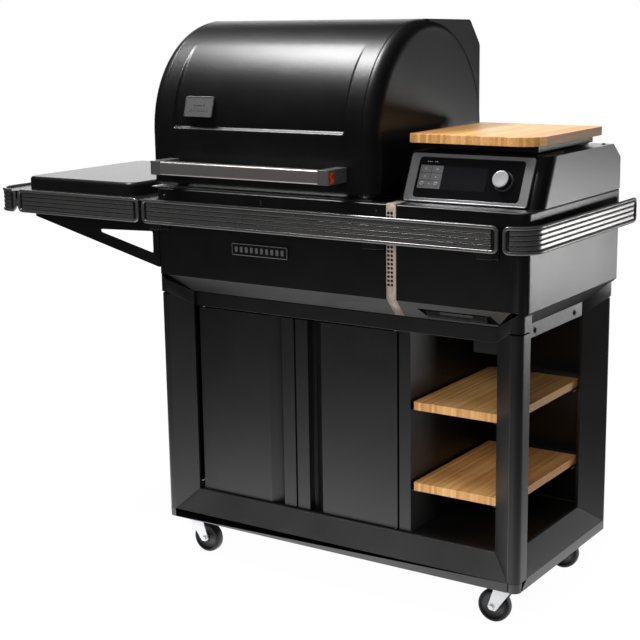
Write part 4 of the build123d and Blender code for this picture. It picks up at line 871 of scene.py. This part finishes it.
def shrunk(section, width, height, by):
    """A plate's outline with every side moved in by the same amount."""
    return [(width / 2 + (a - width / 2) * (1 - 2 * by / width),
             height / 2 + (b - height / 2) * (1 - 2 * by / height)) for a, b in section]


def row_of_bars(width, height):
    count = 10
    left, right = 6 * MM, width - 6 * MM
    pitch = (right - left) / count
    return [(left + pitch * (i + 0.2), left + pitch * (i + 0.72), height * 0.27, height * 0.73)
            for i in range(count)]


def bar_over_blocks(width, height):
    count = 7
    left, right = width * 0.17, width * 0.83
    pitch = (right - left) / count
    blocks = [(left + pitch * (i + 0.16), left + pitch * (i + 0.84), height * 0.29, height * 0.45)
              for i in range(count)]
    return blocks + [(width * 0.3, width * 0.7, height * 0.57, height * 0.65)]


# ---------------------------------------------------------------- casters
def caster_wheels():
    for y_name in ("front", "rear"):
        for x_name in ("left", "right"):
            node = "caster_wheel_%s_%s" % (y_name, x_name)
            body = body_of_node[node]
            centre = middle_of(node)
            axis = Vector((0, 1, 0))
            half = 13.0
            tyre = [(27.5, -half + 3.2), (29.0, -half + 0.6), (31.5, -half), (34.2, -half + 1.0),
                    (36.2, -half + 3.2),
                    (37.2, -half + 6.6), (37.49, -3.0), (37.49, 3.0), (37.2, half - 6.6), (36.2, half - 3.2),
                    (34.2, half - 1.0), (31.5, half), (29.0, half - 0.6), (27.5, half - 3.2)]
            bm = bmesh.new()
            lathe_open(bm, centre, axis, [(r * MM, a * MM) for r, a in tyre], 72)
            add_piece("tyre_%s_%s" % (y_name, x_name), bm, "caster_rubber", body, replaces=(node,), smooth=50)
            hub = [(4.1, -half), (9.0, -half), (9.8, -half + 0.8), (10.4, -half + 5.0), (13.0, -half + 7.0),
                   (24.0, -half + 6.0), (26.4, -half + 4.0), (27.6, -half + 3.0), (27.6, half - 3.0),
                   (26.4, half - 4.0), (24.0, half - 6.0), (13.0, half - 7.0), (10.4, half - 5.0),
                   (9.8, half - 0.8), (9.0, half), (4.1, half)]
            bm = bmesh.new()
            lathe_open(bm, centre, axis, [(r * MM, a * MM) for r, a in hub], 48)
            add_piece("hub_%s_%s" % (y_name, x_name), bm, "inlet_plastic", body, smooth=40)
            bm = bmesh.new()
            fork = body_of_node["caster_fork_%s_%s" % (y_name, x_name)]
            for sign in (-1, 1):
                outward = axis * sign
                lathe(bm, centre + outward * 17.5 * MM, outward,
                      [(r * MM, a * MM) for r, a in ((7.5, 0.0), (7.5, 0.9), (7.0, 1.2), (3.0, 1.2))], 32)
                lathe(bm, centre + outward * 18.7 * MM, outward,
                      [(r * MM, a * MM) for r, a in ((5.8, 0.0), (5.8, 3.2), (5.2, 3.8), (3.0, 3.8))], 6)
            add_piece("axle_nuts_%s_%s" % (y_name, x_name), bm, "zinc_plate", fork, smooth=30)


# ---------------------------------------------------------------- hooks and clean-out
def rail_hooks():
    """Small curled wire hooks on the brackets under the front rail."""
    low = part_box("front_rails")[0]
    bm = bmesh.new()
    for x in (-225.0, 368.0, 640.0):
        for side in (-1, 1):
            frames = []
            for step in range(15):
                t = math.radians(90 - 290 * step / 14)
                radius = (7.0 - 0.16 * step) * MM
                place = Vector(((x + side * 9.0) * MM + side * radius * math.cos(t), low.y + 11 * MM,
                                low.z - 7 * MM + radius * math.sin(t)))
                across = Vector((side * math.cos(t), 0, math.sin(t)))
                frames.append((place, across, Vector((0, 1, 0))))
            sweep(bm, frames, ring_section(1.3 * MM, 10))
    add_piece("rail_hooks", bm, "rail_coat", "cart", smooth=60)


def cleanout_front():
    """A dark sheet that closes the gap behind the clean-out's mouth, painted shade for the recess, and the
    stepped grip on the slide.
    """
    low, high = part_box("cleanout_slide")
    bm = bmesh.new()
    # Dark sheet where the recess behind the mouth lies in shade: painted shade.
    slab(bm, Vector((0, -216 * MM, 0)), ACROSS, UP, FORWARD, 452 * MM, 652 * MM, 668 * MM, 698 * MM,
         0, 1.5 * MM)
    add_piece("cleanout_painted_shade", bm, "inlet_plastic", "cart")
    bm = bmesh.new()
    slab(bm, Vector((0, low.y + 1 * MM, 0)), ACROSS, UP, FORWARD, low.x + 34 * MM, high.x - 34 * MM,
         high.z - 6 * MM, high.z - 1 * MM, 0, 1.4 * MM, 1.2 * MM)
    add_piece("cleanout_grip", bm, "rail_coat", body_of_node["cleanout_slide"])


# ---------------------------------------------------------------- bolts
def hex_bolt(bm, place, axis, size, height, washer=True):
    if washer:
        lathe(bm, place, axis, [(size * 1.5, 0.0), (size * 1.5, 0.7 * MM), (size * 1.35, 1.0 * MM),
                                (size * 0.5, 1.0 * MM)], 32)
    lathe(bm, place, axis, [(size, 0.0), (size, height - 0.5 * MM), (size * 0.88, height),
                            (size * 0.45, height), (size * 0.4, height - 0.5 * MM),
                            (size * 0.02, height - 0.5 * MM)], 6)


def bolts():
    bm = bmesh.new()
    for x in (-219.5, 61.5, 365.5):
        hex_bolt(bm, Vector((x * MM, -260.5 * MM, 895 * MM)), FORWARD, 3.6 * MM, 3 * MM)
    for y in (-118.0, 88.0):
        hex_bolt(bm, Vector((674 * MM, y * MM, 643 * MM)), ACROSS, 5 * MM, 4 * MM)
    for y in (-49.0, 156.0):
        hex_bolt(bm, Vector((704 * MM, y * MM, 1016 * MM)), UP, 3.4 * MM, 2.5 * MM)
    add_piece("bolt_heads", bm, "cart_powder_coat", "cart", replaces=("bolts",), smooth=30)


EDGES = {"body_shell": 2.2, "control_bezel": 2.0, "handle_brackets": 2.6, "handle_bar": 1.4,
         "rail_brackets": 0.8, "hopper_housing": 2.0, "bottom_rails": 1.0}  # width of the broken edges, mm

paint_cad()
hood()
rails()
perforated_strip()
panel_details()
bezel_sill()
knob()
rail_hooks()
cleanout_front()
relief_plate("nameplate", "badge_metal", "body_powder_coat", row_of_bars, 27.0)
relief_plate("badge_plate", "badge_metal", "badge_metal", bar_over_blocks, 48.0)
caster_wheels()
bolts()
for name in ("corner_posts", "post_caps", "bottom_rails", "header_rails", "left_door", "right_door",
             "body_shell", "hopper_housing", "divider_panel", "hopper_lid", "handle_bar", "handle_brackets",
             "bamboo_shelves", "top_board", "side_shelf", "shelf_brackets", "rail_brackets", "cleanout_slide",
             "control_bezel"):
    refine(name, EDGES.get(name, 1.2) * MM)


# ---------------------------------------------------------------- camera, light and floor
CAMERA_PLACE = Vector((1.92685, -2.8132, 1.3067))
CAMERA_YAW, CAMERA_PITCH, CAMERA_ROLL = math.radians(33.82), math.radians(12.21), math.radians(-0.85)
CAMERA_LENS = 79.34


def camera():
    forward = Vector((-math.sin(CAMERA_YAW) * math.cos(CAMERA_PITCH),
                      math.cos(CAMERA_YAW) * math.cos(CAMERA_PITCH), -math.sin(CAMERA_PITCH)))
    level = Vector((math.cos(CAMERA_YAW), math.sin(CAMERA_YAW), 0.0))
    upright = level.cross(forward)
    right = level * math.cos(CAMERA_ROLL) + upright * math.sin(CAMERA_ROLL)
    up = upright * math.cos(CAMERA_ROLL) - level * math.sin(CAMERA_ROLL)
    data = bpy.data.cameras.new("camera")
    data.lens = CAMERA_LENS
    data.sensor_width = 36.0
    item = bpy.data.objects.new("camera", data)
    bpy.context.scene.collection.objects.link(item)
    turn = Matrix((right, up, -forward)).transposed()
    item.matrix_world = Matrix.Translation(CAMERA_PLACE) @ turn.to_4x4()
    bpy.context.scene.camera = item


def softbox(name, place, target, width, height, power, colour=(1.0, 1.0, 1.0), sheen=True):
    data = bpy.data.lights.new(name, "AREA")
    data.shape = "RECTANGLE"
    data.size, data.size_y = width, height
    data.energy = power
    data.color = colour
    item = bpy.data.objects.new(name, data)
    bpy.context.scene.collection.objects.link(item)
    item.location = place
    item.visible_glossy = sheen
    item.rotation_mode = "QUATERNION"
    item.rotation_quaternion = (Vector(target) - Vector(place)).to_track_quat("-Z", "Y")
    return item


def world():
    item = bpy.data.worlds.new("studio")
    bpy.context.scene.world = item
    item.use_nodes = True
    tree = item.node_tree
    tree.nodes.clear()
    paths = tree.nodes.new("ShaderNodeLightPath")
    seen, dim = tree.nodes.new("ShaderNodeBackground"), tree.nodes.new("ShaderNodeBackground")
    seen.inputs["Strength"].default_value = 1.0
    seen.inputs["Color"].default_value = (1, 1, 1, 1)
    dim.inputs["Color"].default_value = (1, 1, 1, 1)
    dim.inputs["Strength"].default_value = 0.012
    mix, out = tree.nodes.new("ShaderNodeMixShader"), tree.nodes.new("ShaderNodeOutputWorld")
    tree.links.new(paths.outputs["Is Camera Ray"], mix.inputs["Fac"])
    tree.links.new(dim.outputs[0], mix.inputs[1])
    tree.links.new(seen.outputs[0], mix.inputs[2])
    tree.links.new(mix.outputs[0], out.inputs["Surface"])


def floor():
    """White paper: bright to the camera, and a pool of light round the grill for reflections."""
    bpy.ops.mesh.primitive_plane_add(size=30.0, location=(0, 0, -0.0002))
    item = bpy.context.object
    item.name = "floor"
    m = Shader("floor_paper", (0.04, 0.04, 0.04), 0.9, specular=0.0)
    paths = m.add("ShaderNodeLightPath")
    away = m.add("ShaderNodeVectorMath", operation="LENGTH")
    m.link(m.place, away.inputs[0])
    reach = m.math("MULTIPLY", away.outputs["Value"], 0.2)

    def greys(*stops):
        return m.ramp(reach, *((at, (value,) * 3) for at, value in stops))

    pool = greys((0.08, 2.5), (0.17, 1.25), (0.26, 0.45), (0.36, 0.15), (0.5, 0.04), (0.9, 0.006))
    paper = greys((0.1, 0.975), (0.4, 1.0))
    glow = m.mix(paths.outputs["Is Camera Ray"], pool, paper)
    m.link(glow, m.shader.inputs["Emission Color"])
    m.shader.inputs["Emission Strength"].default_value = 1.0
    item.data.materials.append(m.material)


camera()
world()
floor()
softbox("top_left", (-0.92, -0.45, 3.1), (0.2, -0.1, 1.2), 0.9, 0.6, 72.0)
softbox("back_left", (-3.0, 4.0, 1.7), (-0.1, 0.0, 1.0), 4.6, 2.6, 95.0)
softbox("back_right", (2.75, 3.0, 0.26), (0.5, 0.0, 0.8), 1.5, 0.6, 34.0)
softbox("back_high", (2.1, 3.3, 2.0), (0.5, 0.0, 0.3), 1.4, 1.0, 4.0)
softbox("key", (1.3, -4.2, 2.3), (0.1, 0.0, 0.7), 3.0, 2.0, 150.0, sheen=False)
softbox("overhead", (0.4, -0.6, 3.6), (0.2, 0.0, 1.0), 2.4, 2.4, 70.0, sheen=False)

scene = bpy.context.scene
scene.view_settings.view_transform = "Standard"
scene.view_settings.look = "None"
